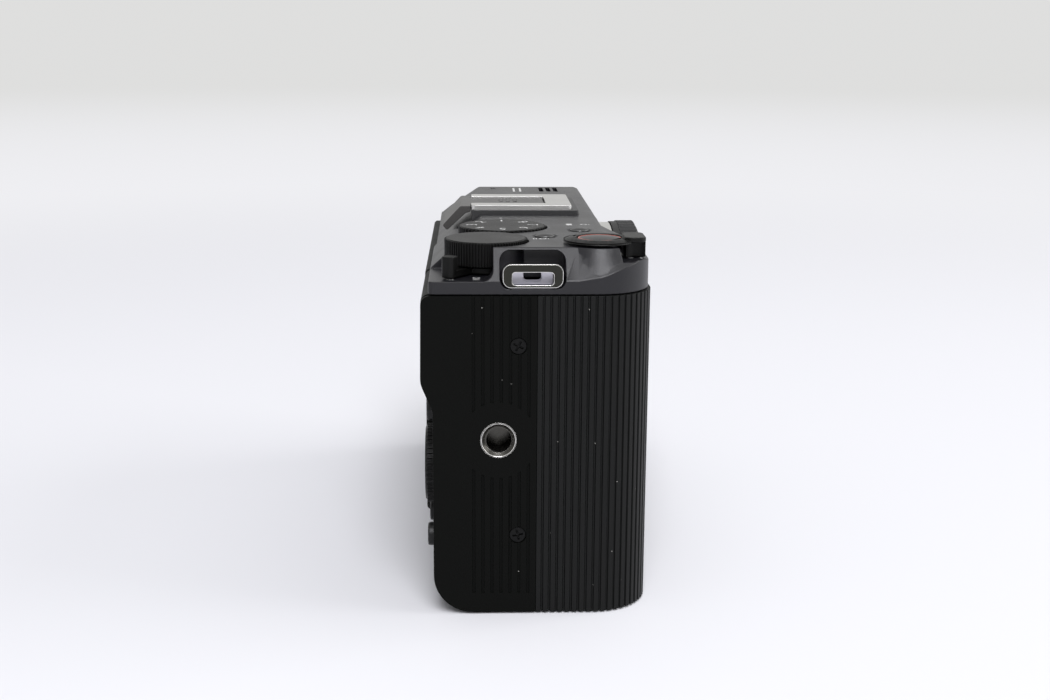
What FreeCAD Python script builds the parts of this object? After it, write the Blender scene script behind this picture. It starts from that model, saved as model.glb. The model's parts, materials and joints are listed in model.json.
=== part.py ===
import FreeCAD, Part
import math
import os

# Mirrorless camera body with its mount cap on, in millimetres.
# X runs along the width with the hand grip at -X, the lens side faces -Y, +Z is up.
# The origin is on the standing plane, under the middle of the body.

V = FreeCAD.Vector

# Overall body
body_width = 119.3
body_half = body_width / 2
grip_front = -20.75
front_wall = -14.0
rear_wall = 21.5
rear_most = 23.8
deck_top = 71.8
seam_top = 63.5
shell_wall = 2.9
rear_wall_depth = 4.9
rear_inner = rear_wall - rear_wall_depth
grip_corner = 11.0
grip_inner_corner = 5.5
grip_root_radius = 4.0
grip_front_end = 32.65 - body_half
grip_slope_width = 5.0
grip_root = grip_front_end + grip_slope_width
port_corner = 5.0
rear_corner = 1.5
least_radius = 0.2
bottom_round = 8.0
bottom_thickness = 1.6
bottom_inset = 1.3

# Clearances
seam_gap = 0.2
running_gap = 0.3
button_gap = 0.25
seat_gap = 0.05
pin_gap = 0.03

# Skins on the outside of the body
skin = 1.2
skin_foot = 0.4
skin_split = 1.6
grip_skin_end = grip_front_end + 2.0
skin_end_share = 0.8
rib_pitch = 1.42
rib_groove = 0.5
rib_depth = 0.35
rib_slope = 0.2
panel_groove_count = 7
panel_groove_first = 3.2
panel_groove_pitch = 1.75
panel_groove_width = 0.55
panel_groove_depth = 0.3
panel_groove_low = 4.3
socket_disc_radius = 7.5

# Thumb rest on the rear
thumb_low = 41.0
thumb_full = 46.5
thumb_inner = 29.65 - body_half
thumb_low_radius = 4.0
thumb_full_radius = 5.0
thumb_top_radius = 1.6
thumb_lean = 0.2

# Top deck
band_top = 66.05
band_inset = 0.5
deck_side = 5.25 - body_half
deck_port = body_half - 8.9
deck_crease = -12.4
deck_level = -6.0
deck_crease_foot = 67.1
deck_front_foot = 68.1
deck_front_top = 68.4
deck_sections = (
    (rear_most + 1, band_top, deck_top),
    (deck_level, band_top, deck_top),
    (deck_crease, deck_crease_foot, deck_top),
    (grip_front - 1, deck_front_foot, deck_front_top),
)
deck_rear = 12.2
side_fall = band_inset - body_half
mound_foot = 10.3
mound_top = 7.1
rear_fall = 22.2
deck_rear_step = 0.5
deck_rear_radius = 1.5
thumb_deck_drop = 1.9
thumb_deck_rear = 3.5
deck_step_radius = 0.4
deck_ceiling = 65.4
deck_hollow_top = 69.6
deck_wall = 3.0
mic_slot_count = 3
mic_slot_first = -3.7
mic_slot_pitch = 1.8
mic_slot_width = 1.0
mic_slot_length = 8.6
mic_slot_end = 2.4
mic_slot_depth = 1.0
monitor_hole_radius = 0.7
monitor_hole_y = 8.6
monitor_hole_end = 4.4

# Tripod sockets, a quarter inch thread
thread_bore = 2.6
socket_radius = 4.4
socket_lip = 3.5
socket_lip_width = 0.25
socket_mouth = 0.65
socket_length = 6.5
socket_floor = 1.0
side_socket_y = 8.95
side_socket_z = 35.3
side_socket_sink = 0.15
bottom_socket_y = 0.25
bottom_socket_sink = 0.1
bottom_socket_length = 6.0
bottom_socket_radius = 5.4

# Screws
screw_head = 1.5
screw_shank = 0.8
screw_length = 3.9
screw_sink = 0.7
screw_recess = 0.25
screw_bore = 1.65
side_screw_y = 5.2
side_screw_high = 53.7
side_screw_low = 16.2

# Main dial and power switch
main_x = 13.85 - body_half
main_y = 11.2
main_radius = 8.1
main_top = 72.45
main_thickness = 4.7
dial_edge = 0.4
dial_edge_depth = 0.15
dial_pocket_wall = 0.5
main_teeth = 84
dial_tooth = 0.3
tooth_shares = ((0.0, 0), (0.38, 0), (0.5, 1), (0.88, 1))
recess_floor = 66.0
recess_right = 10.0
recess_inner = main_x + 1.8
recess_corner = 2.0
switch_radius = 6.9
switch_thickness = 1.2
switch_lift = 0.25
switch_tab_reach = 13.6
switch_tab_width = 2.6
switch_tab_height = 4.1
switch_tab_corner = 0.9
switch_tab_inner = 10.8
switch_angle = 145.5

# Mode dial
mode_x = 33.65 - body_half
mode_y = 7.65
mode_radius = 9.1
mode_top = 72.2
mode_thickness = 4.3
mode_teeth = 56
dial_shaft = 2.0
dial_shaft_length = 3.0
encoder_radius = 5.0
encoder_height = 1.6

# Shutter button and zoom lever
shutter_x = 10.65 - body_half
shutter_y = -10.7
shutter_radius = 4.15
shutter_top = 73.2
shutter_height = 2.6
shutter_crown = 22.0
shutter_stem = 1.4
lever_radius = 7.0
lever_top = 73.0
lever_bevel = 1.4
lever_bevel_height = 0.5
lever_rim = 0.1
lever_floor = 69.2
lever_lift = 0.2
lever_reach = 8.7
lever_nub_start = 4.5
lever_nub_width = 8.0
lever_nub_corner = 1.6
lever_nub_rise = 0.4
lever_lip = 1.0
lever_scoop = 2.5
lever_scoop_side = 4.4
lever_scoop_reach = 7.2
lever_swing = 18.0
lever_swing_spare = 3.0

# Buttons on the deck
deck_button_radius = 1.95
deck_button_rise = 0.45
deck_button_height = 2.6
deck_button_crown = 6.0
deck_dish = 2.7
deck_dish_depth = 0.35
deck_button_travel = 0.6
deck_button_places = {
    "record_button": (28.65 - body_half, -8.1),
    "still_movie_button": (20.25 - body_half, -0.6),
}

# Lens mount
lens_x = 6.0
lens_z = 38.1
flange_y = -17.75
flange_thickness = 2.75
throat_radius = 23.05
flange_radius = throat_radius + 7.15
bayonet_inner = throat_radius - 1.35
bayonet_thickness = 1.3
bayonet_root = 0.5
bayonet_span = 58.0
boss_radius = flange_radius + 1.0
sensor_plane = 0.25
throat_wall = 1.2
throat_floor = 1.2
light_window_width = throat_radius * 1.475
light_window_height = throat_radius * 1.258
light_window_corner = 3.0
contact_count = 10
contact_radius = 0.5
contact_length = 0.3
contact_pitch = 5.2
contact_circle = throat_radius - 1.65
contact_block_inner = throat_radius - 2.85
contact_block_step = 3.4
contact_block_span = 66.0
mount_screw_count = 6
mount_screw_circle = throat_radius + 3.95
mount_screw_head = 1.3
mount_screw_head_height = 0.7
mount_screw_sink = 0.2
bottom_socket_x = lens_x

# Body cap
cap_radius = flange_radius + 0.4
cap_wall = 1.6
cap_face = 2.0
cap_tube = bayonet_inner - running_gap
cap_lug = throat_radius - running_gap
cap_lug_span = 48.0
cap_lug_thickness = 1.1
cap_lug_turn = 30.0
cap_ribs = 90
cap_rib_depth = 0.4
cap_band = 1.5
cap_band_inset = 0.2
cap_chamfer = 0.5
cap_face_inset = 1.0
cap_dish_inset = 4.6
cap_dish_depth = 0.4

# Lens release button and its lock pin
release_radius = 3.4
release_rise = 2.4
release_edge = 0.7
release_angle = -35.57
release_reach = boss_radius + release_radius + 1.67
release_x = lens_x + release_reach * math.cos(math.radians(release_angle))
release_z = lens_z + release_reach * math.sin(math.radians(release_angle))
release_travel = 1.6
release_end = 1.0
guide_half = 5.0
guide_corner = 1.5
guide_floor = 0.8
lock_pin_radius = 1.1
lock_pin_wall = 1.4
lock_pin_angle = -12.0
lock_pin_circle = throat_radius + 3.85
lock_pin_rise = 1.3
lock_pin_end = 1.4
guide_depth = lock_pin_end + release_travel + guide_floor + 0.4

# Focus lamp window in the front wall
lamp_x = lens_x + 32.75
lamp_z = 57.5
lamp_width = 5.5
lamp_height = 3.0
lamp_depth = 0.8

# Imaging stack
shutter_unit_front = -6.6
shutter_unit_thickness = 3.2
shutter_unit_width = 50.0
shutter_unit_height = 44.0
picture_width = 23.5
picture_height = 15.6
picture_margin = 1.2
glass_margin_round = 2.4
sensor_margin = 3.2
glass_thickness = 1.0
sensor_thickness = 1.6
bracket_width = picture_width + 24.5
bracket_height = picture_height + 20.4
bracket_window_width = 18.0
bracket_window_height = 12.0
bracket_corner = 3.0

# Battery and memory card
battery_x = 18.5
battery_y = 31.8
battery_z = 45.0
battery_inner_face = 26.85 - body_half
battery_front = -16.2
battery_low = 2.2
battery_corner = 2.0
bay_wall = 0.6
card_width = 24.0
card_height = 32.0
card_thickness = 2.1
card_cut = 4.2
card_corner = 0.8
card_gap = 0.2
card_x = battery_inner_face + running_gap + bay_wall + 0.9
slot_wall = 0.6
card_front = rear_inner - slot_wall - card_gap - 0.8 - card_width
card_low = 3.0

# Inner frame and board
socket_depth = 6.0
port_sink = 0.4
port_face = body_half - skin - port_sink
chassis_y = 3.6
chassis_thickness = 1.5
chassis_low = 4.0
chassis_high = 62.0
chassis_corner = 2.0
chassis_leg = 1.5
card_inner_side = card_x + card_thickness + card_gap + slot_wall
chassis_left = (card_inner_side + lens_x - shutter_unit_width / 2 - chassis_leg) / 2
chassis_right = port_face - socket_depth - seat_gap
chassis_leg_low = 22.5
chassis_leg_high = 58.0
chassis_foot = 3.0
chassis_foot_inset = 4.0
chassis_window_width = 22.0
chassis_window_height = 16.0
saddle_half = 9.0
saddle_front = 5.5
board_thickness = 1.2
board_gap = 2.4
board_inset = 1.0
board_post = 1.6
board_post_side = 5.0
board_post_end = 8.0
board_chip_height = 1.2
board_chips = ((-14.0, 5.9, 14.0, 14.0), (12.0, -18.1, 11.0, 13.0), (-12.0, -20.1, 8.0, 10.0))

# Hot shoe
shoe_width = 22.0
shoe_front = -8.3
shoe_length = 22.4
shoe_slot = 18.6
shoe_opening = 12.6
shoe_top = 73.7
shoe_slot_low = 71.9
shoe_lip = 0.75
shoe_end = 1.6
shoe_bridge = 5.6
shoe_corner = 0.9
shoe_frame_rim = 1.5
shoe_frame_rise = 1.0
shoe_frame_height = 0.7
shoe_frame_sink = 1.4
shoe_frame_corner = 0.8
shoe_cover_gap = 0.3
shoe_cover_lift = 0.25
shoe_cover_tail = 4.05
shoe_tail_drop = 4.32
shoe_tail_thickness = 1.2
shoe_tail_side = 1.0
shoe_ridge_first = 12.0
shoe_ridge_pitch = 1.6
shoe_ridge_width = 0.8
shoe_ridge_half = 2.2
shoe_ridge_height = 0.2
shoe_contact_radius = 0.9
shoe_contact_height = 0.15
shoe_contact_middle = 9.0
shoe_contact_spots = ((0.0, 0.0), (-4.2, 4.4), (4.2, 4.4), (-4.2, 9.0), (4.2, 9.0))

# Strap lugs
lug_y = 2.5
lug_width = 11.4
lug_low = 64.75
lug_height = 4.5
lug_corner = 1.6
lug_thickness = 1.3
lug_bar = 0.55
lug_opening_width = 7.8
lug_opening_height = 2.4
lug_opening_corner = 0.7
lug_tongue_width = 1.4
lug_tongue_height = 1.0
lug_tongue_low = 1.6
lug_tongue_inset = 0.2
lug_recess_width = lug_width + 1.0
lug_recess_floor = 64.5
lug_recess_top = 71.35
lug_recess_corner = 2.0
lug_recess_depth = 8.1
lug_face = 0.55 - body_half
lug_plate_gap = 0.6
lug_plate_depth = 2.6
lug_plate_thickness = 0.8
lug_plate_height = 2.9
lug_notch_width = 3.4
lug_notch_low = 1.0

# Screen on its side hinge
screen_left = 34.15 - body_half
screen_right = body_half - 3.25
screen_low = 9.2
screen_high = 62.5
screen_back = 18.9
screen_corner = 2.5
screen_edge = 0.5
screen_gap = 0.3
screen_hinge_side = 4.2
glass_margin = 2.4
glass_depth = 0.9
glass_sink = 0.1
glass_corner = 1.0
hinge_x = body_half - 2.65
hinge_y = (screen_back + rear_most) / 2
hinge_low = 28.0
hinge_high = 44.0
hinge_radius = 2.2
hinge_pin = 0.8
hinge_pin_gap = 0.02
hinge_knuckle = 2.4
hinge_arm = 1.6
hinge_arm_back = 0.4
hinge_arm_corner = 0.8
hinge_arm_face = hinge_x - hinge_radius - hinge_arm
tilt_pivot_radius = 1.2
tilt_pivot_length = 3.2

# Rear controls
wheel_x = 16.65 - body_half
wheel_z = 26.0
wheel_radius = 8.0
wheel_rise = 1.85
wheel_teeth = 48
wheel_tooth = 0.3
wheel_edge = 0.4
wheel_thickness = 3.2
set_radius = 3.6
set_rise = 1.3
set_height = 2.2
set_stem = 1.4
set_stem_end = 0.4
rear_button_radius = 2.3
rear_button_rise = 1.3
rear_button_length = 3.4
rear_button_edge = 0.35
rear_button_travel = 0.5
rear_button_left = wheel_x - 8.0
rear_button_right = wheel_x + 7.0
rear_button_high = wheel_z + 13.4
rear_button_low = wheel_z - 12.4
rear_button_places = {
    "menu_button": (rear_button_left, rear_button_high),
    "function_button": (rear_button_right, rear_button_high),
    "delete_button": (rear_button_left, rear_button_low),
    "playback_button": (rear_button_right, rear_button_low),
}

# Battery door on the underside
door_left = 3.65 - body_half
door_front = -16.4
door_rear = 13.0
door_corner = 1.2
door_pin_x = battery_inner_face + 5.4
door_pin_z = 0.8
door_pin_radius = 0.4
door_knuckle = 0.8
door_ear = 3.0
latch_inset = 3.0
latch_length = 6.0
latch_width = 3.2
latch_travel = 1.6
latch_height = 0.7
latch_foot = 0.15
latch_gap = 0.25
latch_ridges = 4
latch_ridge_first = 1.2
latch_ridge_pitch = 1.1
latch_ridge_gap = 0.5
latch_ridge_depth = 0.35

# Port side
port_panel_low = 4.0
port_panel_high = 61.0
port_panel_corner = 2.0
port_panel_front_rim = 3.5
port_panel_rear_rim = 1.5
port_door_front = -7.5
port_door_rear = 11.0
port_door_sink = 0.05
port_pin_radius = 0.4
port_pin_y = port_door_front - 0.9
port_knuckle = 0.8
port_pin_x = body_half - port_knuckle - port_door_sink
port_doors = {"microphone_door": (43.0, 57.0), "cable_door": (9.0, 40.0)}
port_middle = 4.0
microphone_place = (port_middle, 50.0)
headphone_place = (port_middle, 15.0)
jack_radius = 2.9
jack_bore = 1.75
usb_place = (port_middle, 34.0)
usb_size = (3.4, 9.2)
usb_tongue = 0.8
hdmi_place = (port_middle, 24.0)
hdmi_size = (3.2, 7.0)
hdmi_tongue = 0.7
cable_socket_wall = 0.6
cable_socket_corner = 0.9
socket_back = 1.0
tongue_sink = 0.8
tongue_side = 1.2
bottom_screw_left = lens_x - 20.0
bottom_screw_right = body_half - 7.65
bottom_screw_places = (
    (bottom_screw_left, -9.5),
    (bottom_screw_right, -9.0),
    (bottom_screw_left, 12.0),
    (bottom_screw_right, 12.0),
)


def box(x0, x1, y0, y1, z0, z1):
    return Part.makeBox(x1 - x0, y1 - y0, z1 - z0, V(x0, y0, z0))


def rod_x(radius, x0, x1, y, z):
    return Part.makeCylinder(radius, x1 - x0, V(x0, y, z), V(1, 0, 0))


def rod_y(radius, y0, y1, x, z):
    return Part.makeCylinder(radius, y1 - y0, V(x, y0, z), V(0, 1, 0))


def rod_z(radius, z0, z1, x, y):
    return Part.makeCylinder(radius, z1 - z0, V(x, y, z0), V(0, 0, 1))


def tube_y(outer, inner, y0, y1, x, z):
    return rod_y(outer, y0, y1, x, z).cut(rod_y(inner, y0 - 1, y1 + 1, x, z))


def tube_z(outer, inner, z0, z1, x, y):
    return rod_z(outer, z0, z1, x, y).cut(rod_z(inner, z0 - 1, z1 + 1, x, y))


def write(shape, node):
    """One node's solid or group of solids goes to its own file."""
    clean = shape.removeSplitter()
    if not clean.isValid():
        clean = shape
    clean.exportStep("parts/%s.step" % node)
    print(node, len(clean.Solids), "solids", round(clean.Volume, 1), "mm3")


def rounded(corners):
    """A closed flat wire through (point, radius) corners, each rounded by a tangent arc."""
    count = len(corners)
    starts = []
    ends = []
    middles = []
    for i in range(count):
        before = corners[i - 1][0]
        here, radius = corners[i]
        after = corners[(i + 1) % count][0]
        back = (before - here).normalize()
        on = (after - here).normalize()
        half = back.getAngle(on) / 2
        reach = radius / math.tan(half) if radius > 0 else 0
        towards = (back + on).normalize()
        starts.append(here + back * reach)
        ends.append(here + on * reach)
        middles.append(here + towards * (radius / math.sin(half) - radius))
    edges = []
    for i in range(count):
        if corners[i][1] > 0:
            edges.append(Part.Arc(starts[i], middles[i], ends[i]).toShape())
        nearest = starts[(i + 1) % count]
        if (nearest - ends[i]).Length > 1e-6:
            edges.append(Part.LineSegment(ends[i], nearest).toShape())
    return Part.Wire(edges)


def prism(wire, along):
    return Part.Face(wire).extrude(along)


def plate_z(corners, z0, z1):
    wire = rounded([(V(x, y, z0), r) for x, y, r in corners])
    return prism(wire, V(0, 0, z1 - z0))


def plate_y(corners, y0, y1):
    wire = rounded([(V(x, y0, z), r) for x, z, r in corners])
    return prism(wire, V(0, y1 - y0, 0))


def plate_x(corners, x0, x1):
    wire = rounded([(V(x0, y, z), r) for y, z, r in corners])
    return prism(wire, V(x1 - x0, 0, 0))


def soft_box_y(x0, x1, z0, z1, radius, y0, y1):
    return plate_y([(x0, z0, radius), (x1, z0, radius), (x1, z1, radius), (x0, z1, radius)], y0, y1)


def soft_box_x(y0, y1, z0, z1, radius, x0, x1):
    return plate_x([(y0, z0, radius), (y1, z0, radius), (y1, z1, radius), (y0, z1, radius)], x0, x1)


def soft_box_z(x0, x1, y0, y1, radius, z0, z1):
    return plate_z([(x0, y0, radius), (x1, y0, radius), (x1, y1, radius), (x0, y1, radius)], z0, z1)


def plan(inset, rear=rear_wall):
    """Corners of the body seen from above, moved in by an inset."""
    lean = math.atan2(front_wall - grip_front, grip_root - grip_front_end)
    slide = inset * math.tan(lean / 2)
    return [
        (-body_half + inset, rear - inset, max(rear_corner - inset, least_radius)),
        (-body_half + inset, grip_front + inset, grip_corner - inset),
        (grip_front_end - slide, grip_front + inset, grip_inner_corner - inset),
        (grip_root - slide, front_wall + inset, grip_root_radius + inset),
        (body_half - inset, front_wall + inset, port_corner - inset),
        (body_half - inset, rear - inset, max(rear_corner - inset, least_radius)),
    ]


def bottom_edge_cut(inset=0.0):
    """What the long rounding takes off the body's lower rear edge."""
    centre_y = rear_wall - bottom_round
    radius = bottom_round - inset
    block = box(-body_half - 1, body_half + 1, centre_y, rear_wall + 1, -1, bottom_round)
    return block.cut(rod_x(radius, -body_half - 1, body_half + 1, centre_y, bottom_round))


def thumb_corners(low, high, inset=0.0):
    """Side view of the rear edge from the rounded bottom to the thumb rest."""
    return [
        (skin_split + seat_gap, low, least_radius),
        (rear_wall - inset, low, bottom_round - low - inset),
        (rear_wall - inset, thumb_low, thumb_low_radius),
        (rear_most - inset, thumb_full, thumb_full_radius),
        (rear_most - inset - thumb_lean, high, thumb_top_radius),
        (skin_split + seat_gap, high, least_radius),
    ]


def screw(radius_head, radius_shank, head, length, place, way):
    """A screw with its head's face at a place and its shank going the other way."""
    body = Part.makeCylinder(radius_head, head, place, way)
    shank = Part.makeCylinder(radius_shank, length, place + way * head, way)
    return body.fuse(shank)


def toothed(radius, depth, count, x, y, z0, z1):
    """A knob with small straight teeth round its rim."""
    points = []
    for i in range(count):
        for share, low in tooth_shares:
            r = radius - low * depth
            angle = 2 * math.pi * (i + share) / count
            points.append(V(x + r * math.cos(angle), y + r * math.sin(angle), z0))
    points.append(points[0])
    return prism(Part.makePolygon(points), V(0, 0, z1 - z0))


def upright(shape, x, z, y):
    """Turns a shape made round the Z axis at the origin to face along Y."""
    shape.rotate(V(0, 0, 0), V(1, 0, 0), -90)
    shape.translate(V(x, y, z))
    return shape


# Body shell

def screen_pocket():
    return box(screen_left - screen_gap, body_half + 1, screen_back - screen_gap, rear_most + 1,
               screen_low - screen_gap, seam_top + 1)


def cavity():
    """The room inside the shell, open to the deck and the bottom plate."""
    corners = plan(shell_wall, rear_inner + shell_wall)
    return plate_z(corners, bottom_thickness - 1, seam_top + 1)


def skin_space():
    """What the grip skin and the two side panels take off the moulded shell."""
    ring = plate_z(plan(-1.0), skin_foot, seam_top).cut(plate_z(plan(skin + seat_gap), 0, seam_top + 1))
    grip = ring.common(box(-body_half - 2, grip_skin_end, grip_front - 2, skin_split + seat_gap, 0, seam_top + 1))
    side = box(-body_half - 1, -body_half + skin + seat_gap, skin_split - 1, rear_most + 1, 0, seam_top + 1)
    return grip.fuse(side)


def moulded_body():
    """Front and rear covers in one piece, before they are parted."""
    solid = plate_z(plan(0), bottom_thickness, seam_top)
    corners = thumb_corners(bottom_thickness, seam_top)
    thumb = plate_x(corners, -body_half, thumb_inner)
    thumb = thumb.common(box(-body_half, thumb_inner, rear_wall - 1, rear_most + 1, 0, seam_top))
    solid = solid.fuse(thumb)
    solid = solid.cut(bottom_edge_cut())
    solid = solid.cut(cavity())
    solid = solid.cut(skin_space())
    solid = solid.cut(screen_pocket())
    solid = solid.cut(rod_y(throat_radius + throat_wall + seat_gap, front_wall - 1, 0, lens_x, lens_z))
    solid = solid.cut(rod_y(boss_radius + seat_gap, grip_front - 1, front_wall, lens_x, lens_z))
    solid = solid.cut(rod_y(release_radius + running_gap, front_wall - 1, 0, release_x, release_z))
    lock_x, lock_z = lock_pin_place()
    solid = solid.cut(rod_y(lock_pin_radius + running_gap, front_wall - 1, 0, lock_x, lock_z))
    solid = solid.cut(rod_x(socket_radius + seat_gap, -body_half, -body_half + skin + socket_length,
                            side_socket_y, side_socket_z))
    for z in (side_screw_low, side_screw_high):
        solid = solid.cut(rod_x(screw_shank + seat_gap, -body_half, -body_half + shell_wall + 1, side_screw_y, z))
    solid = solid.cut(port_room())
    return solid


def front_cover():
    solid = moulded_body().common(box(-body_half - 1, body_half + 1, grip_front - 1, skin_split, 0, seam_top))
    return solid.cut(box(lamp_x - lamp_width / 2, lamp_x + lamp_width / 2, front_wall - 1,
                         front_wall + lamp_depth, lamp_z - lamp_height / 2, lamp_z + lamp_height / 2))


def rear_cover():
    solid = moulded_body().common(box(-body_half - 1, body_half + 1, skin_split, rear_most + 1, 0, seam_top))
    solid = solid.cut(rod_y(wheel_radius + running_gap, wheel_floor(), rear_most + 1, wheel_x, wheel_z))
    solid = solid.cut(rod_y(set_stem + running_gap, rear_inner - 1, rear_most, wheel_x, wheel_z))
    for x, z in rear_button_places.values():
        floor = rear_wall + rear_button_rise - rear_button_length - rear_button_travel - running_gap
        solid = solid.cut(rod_y(rear_button_radius + button_gap, floor, rear_most + 1, x, z))
    for low, high in hinge_knuckle_spans():
        solid = solid.fuse(fixed_knuckle(low, high))
    return solid


def bottom_cover():
    solid = plate_z(plan(bottom_inset), 0, bottom_thickness).cut(bottom_edge_cut())
    gap = running_gap
    solid = solid.cut(box(door_left - gap, door_pin_x + door_knuckle + gap, door_front - gap, door_rear + gap,
                          -1, bottom_thickness + 1))
    solid = solid.cut(rod_z(socket_lip + seat_gap, -1, bottom_thickness + 1, bottom_socket_x, bottom_socket_y))
    for x, y in bottom_screw_places:
        solid = solid.cut(rod_z(screw_bore, -1, screw_sink, x, y))
        solid = solid.cut(rod_z(screw_shank + seat_gap, -1, bottom_thickness + 1, x, y))
    for y in (door_front, door_rear - door_ear):
        solid = solid.fuse(hinge_ear(y))
    return solid


def hinge_ear(y):
    """A lug of the bottom plate that the battery door's pin runs in."""
    end = y + door_ear
    ear = rod_y(door_knuckle, y, end, door_pin_x, door_pin_z)
    ear = ear.fuse(box(door_pin_x, door_pin_x + door_knuckle + running_gap + 1, y, end, 0, bottom_thickness))
    return ear.cut(rod_y(door_pin_radius + pin_gap, y - 1, end + 1, door_pin_x, door_pin_z))


def grip_path(distance, depth):
    """A point of the grip's outline at a distance from its seam, set in by a depth."""
    straight = skin_split - (grip_front + grip_corner)
    quarter = grip_corner * math.pi / 2
    if distance < straight:
        return V(-body_half + depth, skin_split - distance, 0)
    if distance < straight + quarter:
        turn = (distance - straight) / grip_corner
        reach = grip_corner - depth
        return V(-body_half + grip_corner - reach * math.cos(turn),
                 grip_front + grip_corner - reach * math.sin(turn), 0)
    lean = math.atan2(front_wall - grip_front, grip_root - grip_front_end)
    tangent = grip_inner_corner * math.tan(lean / 2)
    front = grip_front_end - tangent + body_half - grip_corner
    if distance < straight + quarter + front:
        return V(-body_half + grip_corner + distance - straight - quarter, grip_front + depth, 0)
    turn = (distance - straight - quarter - front) / grip_inner_corner
    reach = grip_inner_corner - depth
    centre = V(grip_front_end - tangent, grip_front + grip_inner_corner, 0)
    return centre + V(reach * math.sin(turn), -reach * math.cos(turn), 0)


def grip_path_length():
    """Length of the outline from the side seam to where the skin ends."""
    straight = skin_split - (grip_front + grip_corner)
    lean = math.atan2(front_wall - grip_front, grip_root - grip_front_end)
    tangent = grip_inner_corner * math.tan(lean / 2)
    front = grip_front_end - tangent + body_half - grip_corner
    return straight + grip_corner * math.pi / 2 + front + grip_inner_corner * lean * skin_end_share


def grip_rubber():
    """Rubber skin round the grip, with upright ribs."""
    count = int(grip_path_length() / rib_pitch)
    outer = []
    for i in range(count):
        start = i * rib_pitch
        outer.append(grip_path(start, 0.0))
        outer.append(grip_path(start + rib_pitch - rib_groove, 0.0))
        outer.append(grip_path(start + rib_pitch - rib_groove * (1 - rib_slope), rib_depth))
        outer.append(grip_path(start + rib_pitch - rib_groove * rib_slope, rib_depth))
    outer.append(grip_path(count * rib_pitch, 0.0))
    inner = [grip_path(i * rib_pitch, skin) for i in range(count, -1, -1)]
    points = [p + V(0, 0, skin_foot) for p in outer + inner]
    points.append(points[0])
    return prism(Part.makePolygon(points), V(0, 0, seam_top - seam_gap - skin_foot))


def grip_side_panel():
    """Hard panel of the grip side, with upright grooves and a plain disc round the socket."""
    solid = plate_x(thumb_corners(skin_foot, seam_top - seam_gap), -body_half, -body_half + skin)
    grooves = []
    for i in range(panel_groove_count):
        y = panel_groove_first + i * panel_groove_pitch
        grooves.append(box(-body_half - 1, -body_half + panel_groove_depth, y - panel_groove_width / 2,
                           y + panel_groove_width / 2, panel_groove_low, seam_top))
    cutter = Part.makeCompound(grooves)
    cutter = cutter.cut(rod_x(socket_disc_radius, -body_half - 2, -body_half + 2, side_socket_y, side_socket_z))
    solid = solid.cut(cutter)
    solid = solid.cut(rod_x(socket_lip + seat_gap, -body_half - 1, -body_half + 2, side_socket_y, side_socket_z))
    for z in (side_screw_low, side_screw_high):
        solid = solid.cut(rod_x(screw_bore, -body_half - 1, -body_half + screw_sink, side_screw_y, z))
        solid = solid.cut(rod_x(screw_shank + seat_gap, -body_half - 1, -body_half + 3, side_screw_y, z))
    return solid


# Top deck

def deck_roof():
    """The flat deck with its falling sides and front, lofted through sections across it."""
    far = body_half - band_inset
    wires = []
    for y, foot, top in deck_sections:
        wires.append(Part.makePolygon([
            V(side_fall, y, seam_top),
            V(side_fall, y, foot),
            V(deck_side, y, top),
            V(deck_port, y, top),
            V(far, y, foot),
            V(far, y, seam_top),
            V(side_fall, y, seam_top),
        ]))
    return Part.makeLoft(wires, True, True)


def deck_profile():
    """Side view of the deck: level to its rear edge, then falling to the rear wall."""
    return [
        (grip_front - 1, seam_top, 0),
        (rear_wall + deck_rear_step, seam_top, 0),
        (rear_wall + deck_rear_step, seam_top + 0.5, least_radius),
        (deck_rear, deck_top, deck_rear_radius),
        (grip_front - 1, deck_top, 0),
    ]


def deck_profile_thumb():
    """Side view of the deck behind the dials, which stays high towards the rear."""
    return [
        (grip_front - 1, seam_top, 0),
        (rear_fall, seam_top, 0),
        (rear_fall, band_top, deck_rear_radius),
        (rear_wall - thumb_deck_rear, deck_top - thumb_deck_drop, deck_rear_radius),
        (deck_rear + 1.0, deck_top - thumb_deck_drop, deck_step_radius),
        (deck_rear - deck_step_radius * 2, deck_top, deck_step_radius),
        (grip_front - 1, deck_top, 0),
    ]


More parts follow.
